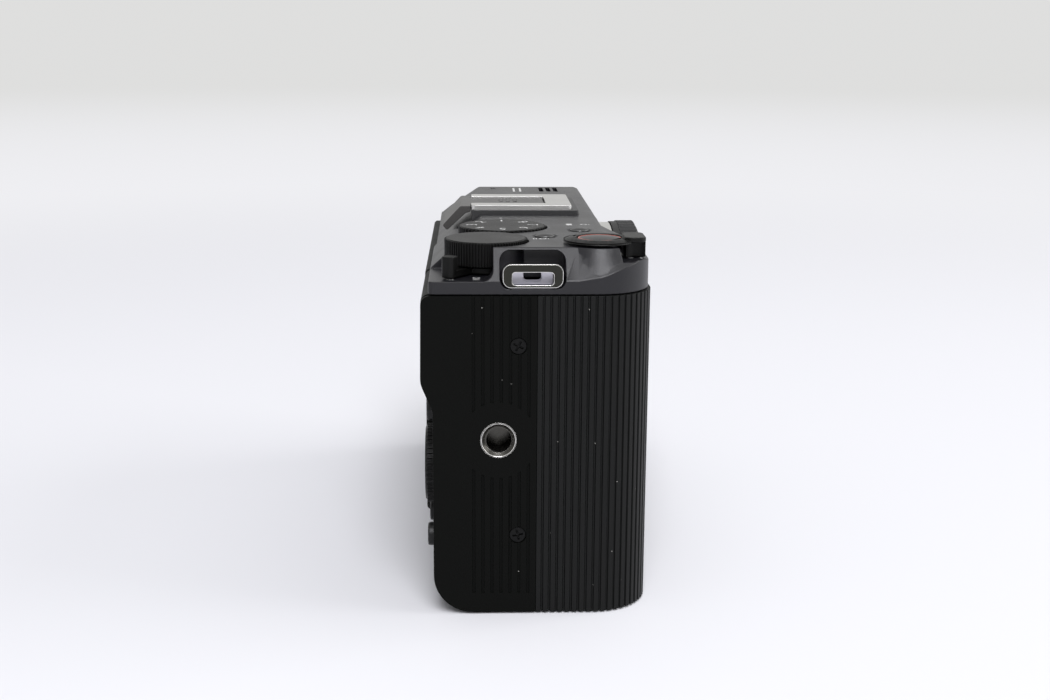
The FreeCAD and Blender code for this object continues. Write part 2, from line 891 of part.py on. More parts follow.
def top_cover():
    corners = plan(band_inset, rear_fall + band_inset)
    whole = plate_z(corners, seam_top, deck_top)
    mound = Part.makeCone(mound_foot, mound_top, deck_top - band_top, V(shutter_x, shutter_y, band_top),
                          V(0, 0, 1))
    solid = whole.common(deck_roof()).fuse(whole.common(mound))
    split = mode_x + mode_radius + 1.5
    far = plate_x(deck_profile(), split, body_half)
    near = plate_x(deck_profile_thumb(), -body_half, split)
    solid = solid.common(far.fuse(near))
    hollow = plate_z(plan(shell_wall, rear_inner + shell_wall), seam_top - 1, deck_ceiling)
    solid = solid.cut(hollow)
    solid = solid.cut(box(shoe_left() + shoe_width + deck_wall * 3, deck_port - deck_wall, front_wall + deck_wall,
                          deck_rear - deck_wall, seam_top, deck_hollow_top))
    solid = solid.cut(dial_room())
    solid = solid.cut(lever_room())
    for x, y in deck_button_places.values():
        floor = deck_top + deck_button_rise - deck_button_height - deck_button_travel - running_gap
        solid = solid.cut(rod_z(deck_button_radius + button_gap, floor, deck_top + 1, x, y))
        dish = Part.makeCone(deck_button_radius + button_gap, deck_dish, deck_dish_depth,
                             V(x, y, deck_top - deck_dish_depth), V(0, 0, 1))
        solid = solid.cut(dish)
    for side in (-1, 1):
        solid = solid.cut(lug_room(side))
    end = deck_port - mic_slot_end
    half = mic_slot_width / 2
    for i in range(mic_slot_count):
        y = mic_slot_first - i * mic_slot_pitch
        solid = solid.cut(soft_box_z(end - mic_slot_length, end, y - half, y + half, half * 0.9,
                                     deck_top - mic_slot_depth, deck_top + 1))
    solid = solid.cut(rod_z(monitor_hole_radius, deck_top - mic_slot_depth, deck_top + 1,
                            deck_port - monitor_hole_end, monitor_hole_y))
    solid = solid.cut(soft_box_z(shoe_left() - shoe_frame_rim, shoe_left() + shoe_width + shoe_frame_rim,
                                 shoe_front - shoe_frame_rim, shoe_front + shoe_length, shoe_frame_corner,
                                 deck_top - shoe_frame_sink, deck_top + 1))
    return solid


def dial_room():
    """Pockets for both dials and the open recess that the power switch moves in."""
    main = rod_z(main_radius + running_gap, recess_floor, deck_top + 2, main_x, main_y)
    mode = rod_z(mode_radius + running_gap, mode_top - mode_thickness - running_gap, deck_top + 2, mode_x, mode_y)
    recess = plate_x([(recess_right, recess_floor, recess_corner), (rear_most, recess_floor, 0),
                      (rear_most, deck_top + 4, 0), (recess_right, deck_top + 4, 0)],
                     -body_half - 1, recess_inner)
    room = Part.makeCompound([main, mode]).fuse(recess)
    shaft = dial_shaft + running_gap
    holes = rod_z(shaft, seam_top, recess_floor + 1, main_x, main_y)
    return room.fuse(holes).fuse(rod_z(shaft, seam_top, mode_top - mode_thickness, mode_x, mode_y))


def sector(radius, half_angle, z0, z1, x, y):
    """A wedge of a disc that opens towards the front."""
    reach = radius / math.cos(math.radians(half_angle)) + 1
    wedge = Part.makePolygon([
        V(x, y, z0),
        V(x - reach * math.sin(math.radians(half_angle)), y - reach * math.cos(math.radians(half_angle)), z0),
        V(x + reach * math.sin(math.radians(half_angle)), y - reach * math.cos(math.radians(half_angle)), z0),
        V(x, y, z0),
    ])
    return prism(wedge, V(0, 0, z1 - z0)).common(rod_z(radius, z0, z1, x, y))


def lever_room():
    """Well of the shutter button, with the space that the zoom lever's nub swings in."""
    room = rod_z(shutter_radius + running_gap, lever_floor, deck_top + 2, shutter_x, shutter_y)
    nub_half = math.degrees(math.atan2(lever_nub_width / 2, lever_nub_start)) + lever_swing + lever_swing_spare
    corner = math.hypot(lever_reach - lever_nub_corner, lever_nub_width / 2 - lever_nub_corner) + lever_nub_corner
    swing = sector(corner + running_gap, nub_half, lever_floor, deck_top + 2, shutter_x, shutter_y)
    stem = rod_z(shutter_stem + running_gap, seam_top, lever_floor + 1, shutter_x, shutter_y)
    return room.fuse(swing).fuse(stem)


def lug_room(side):
    """Recess in the side of the deck that a strap lug stands in."""
    outside = side * (body_half + 1)
    inside = side * (-lug_face - lug_recess_depth)
    x0, x1 = min(outside, inside), max(outside, inside)
    room = soft_box_x(lug_y - lug_recess_width / 2, lug_y + lug_recess_width / 2, lug_recess_floor,
                      lug_recess_top, lug_recess_corner, x0, x1)
    return room.cut(dial_wall())


def dial_wall():
    """The main dial's round pocket with the wall that parts it from the lug's recess."""
    return rod_z(main_radius + running_gap + dial_pocket_wall, seam_top, deck_top + 1, main_x, main_y)


def strap_lug(side):
    """Flat metal loop with its tongue, which goes back into the recess wall."""
    x0 = side * (-lug_face)
    x1 = side * (-lug_face - lug_thickness)
    low, high = min(x0, x1), max(x0, x1)
    loop = soft_box_x(lug_y - lug_width / 2, lug_y + lug_width / 2, lug_low, lug_low + lug_height,
                      lug_corner, low, high)
    sill = lug_low + lug_bar
    loop = loop.cut(soft_box_x(lug_y - lug_opening_width / 2, lug_y + lug_opening_width / 2, sill,
                               sill + lug_opening_height, lug_opening_corner, low - 1, high + 1))
    inner = side * (-lug_face - lug_recess_depth)
    start, end = min(inner, x1), max(inner, x1)
    tongue = lug_low + lug_tongue_low
    reach = lug_width / 2 - lug_tongue_inset
    for y in (lug_y - reach, lug_y + reach - lug_tongue_width):
        loop = loop.fuse(box(start, end, y, y + lug_tongue_width, tongue, tongue + lug_tongue_height))
    return loop.cut(dial_wall())


def lug_plate(side):
    """Sloping plate behind the loop, with a notch in its upper edge."""
    x0 = side * (-lug_face - lug_thickness - lug_plate_gap)
    x1 = x0 - side * lug_plate_depth
    x2 = x1 - side * lug_plate_thickness
    y = lug_y - lug_opening_width / 2
    crest = lug_recess_floor + lug_plate_height
    wire = Part.makePolygon([V(x0, y, lug_recess_floor), V(x1, y, crest), V(x2, y, crest),
                             V(x2, y, lug_recess_floor), V(x0, y, lug_recess_floor)])
    plate = prism(wire, V(0, lug_opening_width, 0))
    low, high = min(x0, x1) - 2, max(x0, x1) + 2
    return plate.cut(soft_box_x(lug_y - lug_notch_width / 2, lug_y + lug_notch_width / 2,
                                lug_recess_floor + lug_notch_low, crest + lug_opening_corner * 3,
                                lug_opening_corner, low, high))


# Dials, lever and buttons of the deck

def main_dial():
    low = main_top - main_thickness
    knob = toothed(main_radius, dial_tooth, main_teeth, main_x, main_y, low, main_top - dial_edge_depth)
    knob = knob.fuse(rod_z(main_radius - dial_edge, low, main_top, main_x, main_y))
    return knob.fuse(rod_z(dial_shaft, low - dial_shaft_length, low, main_x, main_y))


def mode_dial():
    low = mode_top - mode_thickness
    knob = toothed(mode_radius, dial_tooth, mode_teeth, mode_x, mode_y, low, mode_top - dial_edge_depth)
    knob = knob.fuse(rod_z(mode_radius - dial_edge, low, mode_top, mode_x, mode_y))
    return knob.fuse(rod_z(dial_shaft, low - dial_shaft_length, low, mode_x, mode_y))


def dial_encoder(x, y, top):
    """Fixed ring of the rotary switch under a dial's shaft."""
    return tube_z(encoder_radius, dial_shaft + running_gap, top - encoder_height, top, x, y)


def power_switch():
    """Flat ring under the main dial with the tab that the thumb moves."""
    low = recess_floor + switch_lift
    ring = tube_z(switch_radius, dial_shaft + running_gap, low, low + switch_thickness, main_x, main_y)
    tab = soft_box_z(switch_radius - 1.0, switch_tab_reach, -switch_tab_width / 2, switch_tab_width / 2,
                     switch_tab_corner, low, low + switch_thickness)
    grip = soft_box_z(switch_tab_inner, switch_tab_reach, -switch_tab_width / 2,
                      switch_tab_width / 2, switch_tab_corner, low, low + switch_tab_height)
    tab = tab.fuse(grip)
    tab.rotate(V(0, 0, 0), V(0, 0, 1), switch_angle)
    tab.translate(V(main_x, main_y, 0))
    return ring.fuse(tab)


def shutter_button():
    low = shutter_top - shutter_height
    crown = Part.makeSphere(shutter_crown, V(shutter_x, shutter_y, shutter_top - shutter_crown))
    cap = rod_z(shutter_radius, low, shutter_top + 1, shutter_x, shutter_y).common(crown)
    return cap.fuse(rod_z(shutter_stem, lever_floor - 1.0, low, shutter_x, shutter_y))


def zoom_lever():
    foot = deck_top + lever_lift
    edge = lever_top - lever_bevel_height
    inner = lever_radius - lever_bevel
    under = Part.makeCone(inner, lever_radius, edge - lever_rim - foot, V(shutter_x, shutter_y, foot), V(0, 0, 1))
    rim = rod_z(lever_radius, edge - lever_rim, edge, shutter_x, shutter_y)
    over = Part.makeCone(lever_radius, inner, lever_bevel_height, V(shutter_x, shutter_y, edge), V(0, 0, 1))
    low = lever_floor + lever_lift
    high = lever_top + lever_nub_rise
    nub = soft_box_z(-lever_nub_width / 2, lever_nub_width / 2, -lever_reach, -lever_nub_start,
                     lever_nub_corner, low, high)
    nub = nub.cut(rod_z(lever_scoop, low - 1, high - lever_lip, -lever_scoop_side, -lever_scoop_reach))
    nub.translate(V(shutter_x, shutter_y, 0))
    solid = under.fuse(rim).fuse(over).fuse(nub)
    return solid.cut(rod_z(shutter_radius + running_gap, lever_floor - 1, lever_top + 1, shutter_x, shutter_y))


def deck_button(x, y):
    top = deck_top + deck_button_rise
    crown = Part.makeSphere(deck_button_crown, V(x, y, top - deck_button_crown))
    return rod_z(deck_button_radius, top - deck_button_height, top, x, y).common(crown)


# Hot shoe

def shoe_left():
    return lens_x - shoe_width / 2


def hot_shoe_rails():
    """Bent metal channel: a base, two lips that face each other and a bridge at the front."""
    left = shoe_left()
    rear = shoe_front + shoe_length
    base = deck_top - shoe_frame_sink + shoe_frame_height
    solid = soft_box_z(left, left + shoe_width, shoe_front, rear, shoe_corner, base, shoe_top)
    slot_left = lens_x - shoe_slot / 2
    solid = solid.cut(box(slot_left, slot_left + shoe_slot, shoe_front + shoe_end, rear + 1,
                          shoe_slot_low, shoe_top - shoe_lip))
    open_left = lens_x - shoe_opening / 2
    return solid.cut(box(open_left, open_left + shoe_opening, shoe_front + shoe_bridge, rear + 1,
                         shoe_slot_low, shoe_top + 1))


def hot_shoe_frame():
    """Dark tray that the channel stands in, its rim proud of the deck."""
    left = shoe_left() - shoe_frame_rim + seat_gap
    right = left + shoe_width + 2 * shoe_frame_rim - 2 * seat_gap
    rear = shoe_front + shoe_length
    low = deck_top - shoe_frame_sink
    solid = soft_box_z(left, right, shoe_front - shoe_frame_rim + seat_gap, rear - seat_gap, shoe_frame_corner,
                       low, deck_top + shoe_frame_rise)
    return solid.cut(box(shoe_left() - seat_gap, shoe_left() + shoe_width + seat_gap, shoe_front - seat_gap,
                         rear + 1, low + shoe_frame_height, shoe_top))


def shoe_contacts():
    low = shoe_slot_low
    pins = []
    for x, y in shoe_contact_spots:
        pins.append(rod_z(shoe_contact_radius, low, low + shoe_contact_height, lens_x + x,
                          shoe_front + shoe_contact_middle + y))
    return Part.makeCompound(pins)


def hot_shoe_cover():
    """Cover plate in the channel, with a tail that follows the falling rear of the deck."""
    rear = shoe_front + shoe_length
    gap = shoe_cover_gap
    front = shoe_front + shoe_end + gap
    half = shoe_slot / 2 - gap
    low = shoe_slot_low + shoe_cover_lift
    top = shoe_top - shoe_lip - gap
    tongue = box(lens_x - half, lens_x + half, front, rear, low, top)
    narrow = shoe_opening / 2 - gap
    high = shoe_top - shoe_cover_lift
    deck = box(lens_x - narrow, lens_x + narrow, shoe_front + shoe_bridge + gap, rear + shoe_end, low, high)
    fall = rear + shoe_tail_thickness * 2
    foot = high - shoe_tail_drop
    tail = plate_x([(rear + seat_gap * 2, low, 0), (rear + seat_gap * 2, high, 0), (fall, high, 1.0),
                    (fall + shoe_cover_tail, foot, 0.5),
                    (fall + shoe_cover_tail - 1.0, foot - shoe_tail_thickness, 0.5),
                    (rear + shoe_tail_thickness, low - gap, 0.4)],
                   lens_x - half - shoe_tail_side, lens_x + half + shoe_tail_side)
    solid = tongue.fuse(deck).fuse(tail)
    for i in range(3):
        y = shoe_front + shoe_ridge_first + i * shoe_ridge_pitch
        solid = solid.fuse(box(lens_x - shoe_ridge_half, lens_x + shoe_ridge_half, y, y + shoe_ridge_width,
                               high - seat_gap, high + shoe_ridge_height))
    return solid


# Lens mount, cap and release

def lock_pin_place():
    angle = math.radians(lock_pin_angle)
    return lens_x + lock_pin_circle * math.cos(angle), lens_z + lock_pin_circle * math.sin(angle)


def arc_block(outer, inner, y0, y1, middle, span):
    """Part of a ring round the lens axis, between two angles in degrees."""
    ring = tube_y(outer, inner, y0, y1, lens_x, lens_z)
    reach = outer * 2
    first = math.radians(middle - span / 2)
    last = math.radians(middle + span / 2)
    wedge = Part.makePolygon([
        V(lens_x, y0, lens_z),
        V(lens_x + reach * math.cos(first), y0, lens_z + reach * math.sin(first)),
        V(lens_x + reach * math.cos(last), y0, lens_z + reach * math.sin(last)),
        V(lens_x, y0, lens_z),
    ])
    return ring.common(prism(wedge, V(0, y1 - y0, 0)))


def mount_screw_places():
    step = 360.0 / mount_screw_count
    angles = [math.radians(step / 2 + i * step) for i in range(mount_screw_count)]
    return [(lens_x + mount_screw_circle * math.cos(a), lens_z + mount_screw_circle * math.sin(a)) for a in angles]


def lens_mount_ring():
    """Metal bayonet ring: a flange, an open throat and three tabs that hold a lens."""
    back = flange_y + flange_thickness
    solid = tube_y(flange_radius, throat_radius, flange_y, back, lens_x, lens_z)
    for i in range(3):
        tab = arc_block(throat_radius + bayonet_root, bayonet_inner, flange_y, flange_y + bayonet_thickness,
                        90 + i * 120, bayonet_span)
        solid = solid.fuse(tab)
    seat = flange_y + mount_screw_sink + mount_screw_head_height
    for x, z in mount_screw_places():
        solid = solid.cut(rod_y(mount_screw_head + seat_gap, flange_y - 1, seat, x, z))
        solid = solid.cut(rod_y(screw_shank + seat_gap, flange_y - 1, back + 1, x, z))
    x, z = lock_pin_place()
    return solid.cut(rod_y(lock_pin_radius + running_gap, flange_y - 1, back + 1, x, z))


def mount_boss():
    """Moulded collar between the front cover and the mount ring."""
    back = flange_y + flange_thickness
    solid = tube_y(boss_radius, throat_radius + throat_wall + seat_gap, back, front_wall, lens_x, lens_z)
    for x, z in mount_screw_places():
        solid = solid.cut(rod_y(screw_shank + seat_gap, back - 1, front_wall + 1, x, z))
    x, z = lock_pin_place()
    return solid.cut(rod_y(lock_pin_radius + running_gap, back - 1, front_wall + 1, x, z))


def mount_screws():
    """Six screws of the mount ring, one group of separate solids."""
    face = flange_y + mount_screw_sink
    length = front_wall - face - mount_screw_head_height - seat_gap
    made = []
    for x, z in mount_screw_places():
        made.append(screw(mount_screw_head, screw_shank, mount_screw_head_height, length, V(x, face, z),
                          V(0, 1, 0)))
    return Part.makeCompound(made)


def light_box():
    """Dark throat behind the mount, which narrows to the picture window."""
    start = flange_y + flange_thickness
    wall = throat_wall
    solid = tube_y(throat_radius + wall, throat_radius, start, shutter_unit_front - throat_floor, lens_x, lens_z)
    floor = rod_y(throat_radius + wall, shutter_unit_front - throat_floor, shutter_unit_front, lens_x, lens_z)
    floor = floor.cut(soft_box_y(lens_x - light_window_width / 2, lens_x + light_window_width / 2,
                                 lens_z - light_window_height / 2, lens_z + light_window_height / 2, light_window_corner,
                                 shutter_unit_front - throat_floor - 1, shutter_unit_front + 1))
    return solid.fuse(floor)


def contact_block():
    """Curved block in the foot of the throat that carries the lens contacts."""
    return arc_block(throat_radius - seat_gap, contact_block_inner, flange_y + contact_block_step,
                     shutter_unit_front - throat_floor - seat_gap, 270, contact_block_span)


def lens_contacts():
    pins = []
    for i in range(contact_count):
        angle = math.radians(270 + (i - (contact_count - 1) / 2) * contact_pitch)
        x = lens_x + contact_circle * math.cos(angle)
        z = lens_z + contact_circle * math.sin(angle)
        seat = flange_y + contact_block_step
        pins.append(rod_y(contact_radius, seat - contact_length, seat, x, z))
    return Part.makeCompound(pins)


def body_cap():
    """Ribbed dust cap: a shallow cup with a bayonet tube that goes into the mount."""
    face = -rear_most
    rim_back = flange_y - seam_gap
    ribbed = toothed(cap_radius, cap_rib_depth, cap_ribs, 0, 0, 0, rim_back - cap_band - face - cap_chamfer)
    ribbed = upright(ribbed, lens_x, lens_z, face + cap_chamfer)
    front = Part.makeCone(cap_radius - cap_face_inset, cap_radius - cap_rib_depth, cap_chamfer,
                          V(lens_x, face, lens_z), V(0, 1, 0))
    band = rod_y(cap_radius - cap_band_inset, rim_back - cap_band, rim_back, lens_x, lens_z)
    solid = ribbed.fuse(front).fuse(band)
    solid = solid.cut(tube_y(cap_radius - cap_rib_depth - cap_wall, cap_tube, face + cap_face, 0, lens_x, lens_z))
    solid = solid.cut(rod_y(cap_tube - cap_wall, face + cap_face, 0, lens_x, lens_z))
    tube_end = flange_y + bayonet_thickness + running_gap + cap_lug_thickness
    solid = solid.fuse(tube_y(cap_tube, cap_tube - cap_wall, face + cap_face / 2, tube_end, lens_x, lens_z))
    for i in range(3):
        solid = solid.fuse(arc_block(cap_lug, cap_tube - cap_wall / 2, tube_end - cap_lug_thickness, tube_end,
                                     cap_lug_turn + i * 120, cap_lug_span))
    rim = cap_radius - cap_dish_inset
    dish = Part.makeCone(rim, rim - cap_dish_depth, cap_dish_depth, V(lens_x, face, lens_z), V(0, 1, 0))
    return solid.cut(dish)


def release_button():
    front = front_wall - release_rise
    head = rod_y(release_radius, front, front_wall + shell_wall + release_end, release_x, release_z)
    rim = [e for e in head.Edges if abs(e.BoundBox.YMax - front) < 1e-6]
    return head.makeFillet(release_edge, rim)


def release_guide():
    """Sleeve behind the front wall that the release button and its lock pin slide in."""
    lock_x, lock_z = lock_pin_place()
    start = front_wall + shell_wall
    end = start + guide_depth
    floor = end - guide_floor
    block = soft_box_y(release_x - guide_half, release_x + guide_half, release_z - guide_half,
                       release_z + guide_half, guide_corner, start, end)
    block = block.cut(rod_y(release_radius + running_gap, start - 1, floor, release_x, release_z))
    guide = rod_y(lock_pin_radius + lock_pin_wall, start, end, lock_x, lock_z)
    guide = guide.cut(rod_y(lock_pin_radius + running_gap, start - 1, floor, lock_x, lock_z))
    return Part.makeCompound([block, guide])


def lock_pin():
    x, z = lock_pin_place()
    end = front_wall + shell_wall + lock_pin_end
    return rod_y(lock_pin_radius, flange_y - lock_pin_rise, end, x, z)


# Imaging stack and inner parts

def shutter_unit():
    back = shutter_unit_front + shutter_unit_thickness
    solid = soft_box_y(lens_x - shutter_unit_width / 2, lens_x + shutter_unit_width / 2,
                       lens_z - shutter_unit_height / 2, lens_z + shutter_unit_height / 2, 2.0,
                       shutter_unit_front, back)
    gate = soft_box_y(lens_x - picture_width / 2 - picture_margin, lens_x + picture_width / 2 + picture_margin,
                      lens_z - picture_height / 2 - picture_margin, lens_z + picture_height / 2 + picture_margin,
                      0.8, shutter_unit_front - 1, back + 1)
    return solid.cut(gate)


def sensor_glass():
    start = shutter_unit_front + shutter_unit_thickness
    half_x = picture_width / 2 + glass_margin_round
    half_z = picture_height / 2 + glass_margin_round
    return box(lens_x - half_x, lens_x + half_x, start, start + glass_thickness, lens_z - half_z, lens_z + half_z)


def image_sensor():
    start = shutter_unit_front + shutter_unit_thickness + glass_thickness
    half_x = picture_width / 2 + sensor_margin
    half_z = picture_height / 2 + sensor_margin
    return box(lens_x - half_x, lens_x + half_x, start, sensor_plane + sensor_thickness, lens_z - half_z,
               lens_z + half_z)


def sensor_bracket():
    start = sensor_plane + sensor_thickness
    solid = soft_box_y(lens_x - bracket_width / 2, lens_x + bracket_width / 2, lens_z - bracket_height / 2,
                       lens_z + bracket_height / 2, bracket_corner, start, chassis_y)
    return solid.cut(box(lens_x - bracket_window_width / 2, lens_x + bracket_window_width / 2, start - 1,
                         chassis_y + 1, lens_z - bracket_window_height / 2, lens_z + bracket_window_height / 2))


def chassis():
    """Cast inner frame: a plate across the body with legs to the front wall and the bottom plate."""
    back = chassis_y + chassis_thickness
    solid = soft_box_y(chassis_left, chassis_right, chassis_low, chassis_high, chassis_corner, chassis_y,
                       back)
    solid = solid.cut(box(lens_x - chassis_window_width / 2, lens_x + chassis_window_width / 2, chassis_y - 1,
                          back + 1, lens_z - chassis_window_height / 2, lens_z + chassis_window_height / 2))
    front = front_wall + shell_wall
    for x in (chassis_left, chassis_right - chassis_leg):
        solid = solid.fuse(box(x, x + chassis_leg, front, back, chassis_leg_low, chassis_leg_high))
    for x in (chassis_left + chassis_foot_inset, chassis_right - chassis_foot_inset - chassis_foot):
        solid = solid.fuse(box(x, x + chassis_foot, chassis_y, back, bottom_thickness,
                               chassis_low + chassis_corner))
    top = bottom_socket_top() + seat_gap
    solid = solid.cut(rod_z(bottom_socket_radius + seat_gap, 0, top, bottom_socket_x, bottom_socket_y))
    foot = box(bottom_socket_x - saddle_half, bottom_socket_x + saddle_half, bottom_socket_y - saddle_front,
               back, top, top + chassis_thickness)
    return solid.fuse(foot)


def main_board():
    start = chassis_y + chassis_thickness + board_gap
    back = start + board_thickness
    solid = box(chassis_left + board_inset, chassis_right - board_inset, start, back, chassis_low + board_inset,
                chassis_high - board_inset)
    for x in (chassis_left + board_post_side, chassis_right - board_post_side):
        for z in (chassis_low + board_post_end, chassis_high - board_post_end):
            solid = solid.fuse(rod_y(board_post, chassis_y + chassis_thickness, start, x, z))
    for across, up, width, height in board_chips:
        x = lens_x + across
        z = lens_z + up
        solid = solid.fuse(box(x, x + width, back, back + board_chip_height, z, z + height))
    return solid


def battery():
    outer = battery_inner_face - battery_x
    return soft_box_z(outer, battery_inner_face, battery_front, battery_front + battery_y, battery_corner,
                      battery_low, battery_low + battery_z)


def battery_bay():
    """Thin-walled slot that the battery slides up into."""
    gap = running_gap
    outer = battery_inner_face - battery_x - gap
    inner = battery_inner_face + gap
    front = battery_front - gap
    rear = battery_front + battery_y + gap
    high = battery_low + battery_z + gap
    wall = bay_wall
    solid = soft_box_z(outer - wall, inner + wall, front - wall, rear + wall, battery_corner + gap + wall / 2,
                       bottom_thickness, high + wall)
    return solid.cut(soft_box_z(outer, inner, front, rear, battery_corner + gap / 2, 0, high))


def card_slot():
    """Sheet-metal holder of the memory card, fixed to the battery bay."""
    gap = card_gap
    around = gap + slot_wall
    back = card_front + card_width
    solid = box(battery_inner_face + running_gap + bay_wall, card_inner_side, card_front - around, back + around,
                card_low + card_cut, card_low + card_height + around)
    return solid.cut(box(card_x - gap, card_x + card_thickness + gap, card_front - gap, back + gap, 0,
                         card_low + card_height + gap))


def memory_card():
    back = card_front + card_width
    top = card_low + card_height
    corner = card_corner
    return plate_x([(card_front, card_low, corner), (back, card_low, corner), (back, top, corner),
                    (card_front + card_cut, top, corner / 2), (card_front, top - card_cut, corner / 2)],
                   card_x, card_x + card_thickness)


def side_tripod_socket():
    """Metal threaded insert of the grip side, its lip showing in the panel."""
    face = -body_half + side_socket_sink
    lip = rod_x(socket_lip, face, -body_half + skin + seat_gap, side_socket_y, side_socket_z)
    body = rod_x(socket_radius, -body_half + skin + seat_gap, face + socket_length, side_socket_y, side_socket_z)
    mouth = Part.makeCone(socket_lip - socket_lip_width, thread_bore, socket_mouth,
                          V(face, side_socket_y, side_socket_z), V(1, 0, 0))
    bore = rod_x(thread_bore, face - 1, face + socket_length - socket_floor, side_socket_y, side_socket_z)
    return lip.fuse(body).cut(mouth).cut(bore)


def bottom_socket_top():
    return bottom_socket_sink + bottom_socket_length + socket_floor


def bottom_tripod_socket():
    face = bottom_socket_sink
    lip = rod_z(socket_lip, face, bottom_thickness, bottom_socket_x, bottom_socket_y)
    body = rod_z(bottom_socket_radius, bottom_thickness, bottom_socket_top(), bottom_socket_x, bottom_socket_y)
    mouth = Part.makeCone(socket_lip - socket_lip_width, thread_bore, socket_mouth,
                          V(bottom_socket_x, bottom_socket_y, face), V(0, 0, 1))
    bore = rod_z(thread_bore, face - 1, face + bottom_socket_length, bottom_socket_x, bottom_socket_y)
    return lip.fuse(body).cut(mouth).cut(bore)


def side_screws():
    face = -body_half + screw_recess
    made = []
    for z in (side_screw_low, side_screw_high):
        made.append(screw(screw_head, screw_shank, screw_sink - screw_recess, screw_length,
                          V(face, side_screw_y, z), V(1, 0, 0)))
    return made


def bottom_screws():
    made = []
    for x, y in bottom_screw_places:
        made.append(screw(screw_head, screw_shank, screw_sink - screw_recess, bottom_thickness - screw_sink,
                          V(x, y, screw_recess), V(0, 0, 1)))
    return made


# Screen

def hinge_knuckle_spans():
    return [(hinge_low - running_gap - hinge_knuckle, hinge_low - running_gap),
            (hinge_high + running_gap, hinge_high + running_gap + hinge_knuckle)]


def fixed_knuckle(low, high):
    """Ear of the rear cover that holds one end of the screen's hinge pin."""
    floor = screen_back - screen_gap
    ear = rod_z(hinge_radius, low, high, hinge_x, hinge_y)
    ear = ear.fuse(box(hinge_x - hinge_radius, hinge_x + hinge_radius, floor - 0.5, hinge_y, low, high))
    return ear.cut(rod_z(hinge_pin + hinge_pin_gap, low - 1, high + 1, hinge_x, hinge_y))


def screen_notch():
    """What the hinge takes out of the screen's free-standing edge."""
    reach = hinge_knuckle + 2 * running_gap
    return box(hinge_arm_face, screen_right + 1, screen_back - 1, rear_most + 1,
               hinge_low - reach, hinge_high + reach)


def screen_panel():
    """Back shell and rim of the screen, with a tray for the glass."""
    solid = soft_box_y(screen_left, screen_right, screen_low, screen_high, screen_corner, screen_back, rear_most)
    edges = [e for e in solid.Edges if e.BoundBox.YMin > rear_most - 0.01]
    solid = solid.makeChamfer(screen_edge, edges)
    solid = solid.cut(screen_notch())
    solid = solid.cut(tilt_pivot(seat_gap))
    tray = soft_box_y(screen_left + glass_margin, screen_right - glass_margin - screen_hinge_side,
                      screen_low + glass_margin, screen_high - glass_margin, glass_corner,
                      rear_most - glass_depth, rear_most + 1)
    return solid.cut(tray)


def tilt_pivot(gap):
    """Stub of the hinge arm that the screen tilts on, grown by a gap for its bore."""
    middle = (hinge_low + hinge_high) / 2
    return rod_x(tilt_pivot_radius + gap, hinge_arm_face - tilt_pivot_length - gap, hinge_arm_face + gap,
                 hinge_y, middle)


def screen_glass():
    gap = seat_gap
    return soft_box_y(screen_left + glass_margin + gap, screen_right - glass_margin - screen_hinge_side - gap,
                      screen_low + glass_margin + gap, screen_high - glass_margin - gap, glass_corner - gap,
                      rear_most - glass_depth, rear_most - glass_sink)


def screen_hinge():
    """Moving block of the side hinge, an arm with a round knuckle on the pin."""
    knuckle = rod_z(hinge_radius, hinge_low, hinge_high, hinge_x, hinge_y)
    arm = soft_box_z(hinge_arm_face, hinge_x, screen_back + hinge_arm_back, rear_most - running_gap,
                     hinge_arm_corner, hinge_low, hinge_high)
    solid = arm.fuse(knuckle).fuse(tilt_pivot(0))
    return solid.cut(rod_z(hinge_pin + hinge_pin_gap, hinge_low - 1, hinge_high + 1, hinge_x, hinge_y))


def screen_hinge_pin():
    spans = hinge_knuckle_spans()
    return rod_z(hinge_pin, spans[0][0], spans[1][1], hinge_x, hinge_y)


# Rear controls

def wheel_floor():
    return rear_wall + wheel_rise - wheel_thickness - running_gap


def control_wheel():
    low = rear_wall + wheel_rise - wheel_thickness
    high = rear_wall + wheel_rise
    flat = wheel_thickness - wheel_edge
    inner = wheel_radius - wheel_tooth
    rim = toothed(wheel_radius, wheel_tooth, wheel_teeth, 0, 0, 0, flat)
    face = Part.makeCone(inner, inner - wheel_edge, wheel_edge, V(0, 0, flat), V(0, 0, 1))
    solid = upright(rim.fuse(face), wheel_x, wheel_z, low)
    return solid.cut(rod_y(set_radius + running_gap, low - 1, high + 1, wheel_x, wheel_z))


def set_button():
    front = rear_wall + set_rise - set_height
    head = rod_y(set_radius, front, rear_wall + set_rise, wheel_x, wheel_z)
    return head.fuse(rod_y(set_stem, rear_inner + set_stem_end, front, wheel_x, wheel_z))


def rear_button(x, z):
    end = rear_wall + rear_button_rise
    head = rod_y(rear_button_radius, end - rear_button_length, end, x, z)
    rim = [e for e in head.Edges if e.BoundBox.YMin > end - 1e-6]
    return head.makeFillet(rear_button_edge, rim)


# Underside

def battery_door():
    """Flap under the battery, with a rolled edge that turns on the pin."""
    plate = soft_box_z(door_left, door_pin_x - seam_gap, door_front, door_rear, door_corner, 0,
                       bottom_thickness)
    first = door_front + door_ear + running_gap
    last = door_rear - door_ear - running_gap
    plate = plate.cut(box(door_pin_x - door_knuckle - running_gap, door_pin_x + 2, door_front - 1, first, -1, 3))
    plate = plate.cut(box(door_pin_x - door_knuckle - running_gap, door_pin_x + 2, last, door_rear + 1, -1, 3))
    roll = rod_y(door_knuckle, first, last, door_pin_x, door_pin_z)
    solid = plate.fuse(roll)
    solid = solid.cut(rod_y(door_pin_radius + pin_gap, first - 1, last + 1, door_pin_x, door_pin_z))
    x0, x1, y0, y1 = latch_pocket(latch_gap)
    return solid.cut(box(x0, x1 + latch_travel, y0, y1, -1, latch_height + latch_gap))


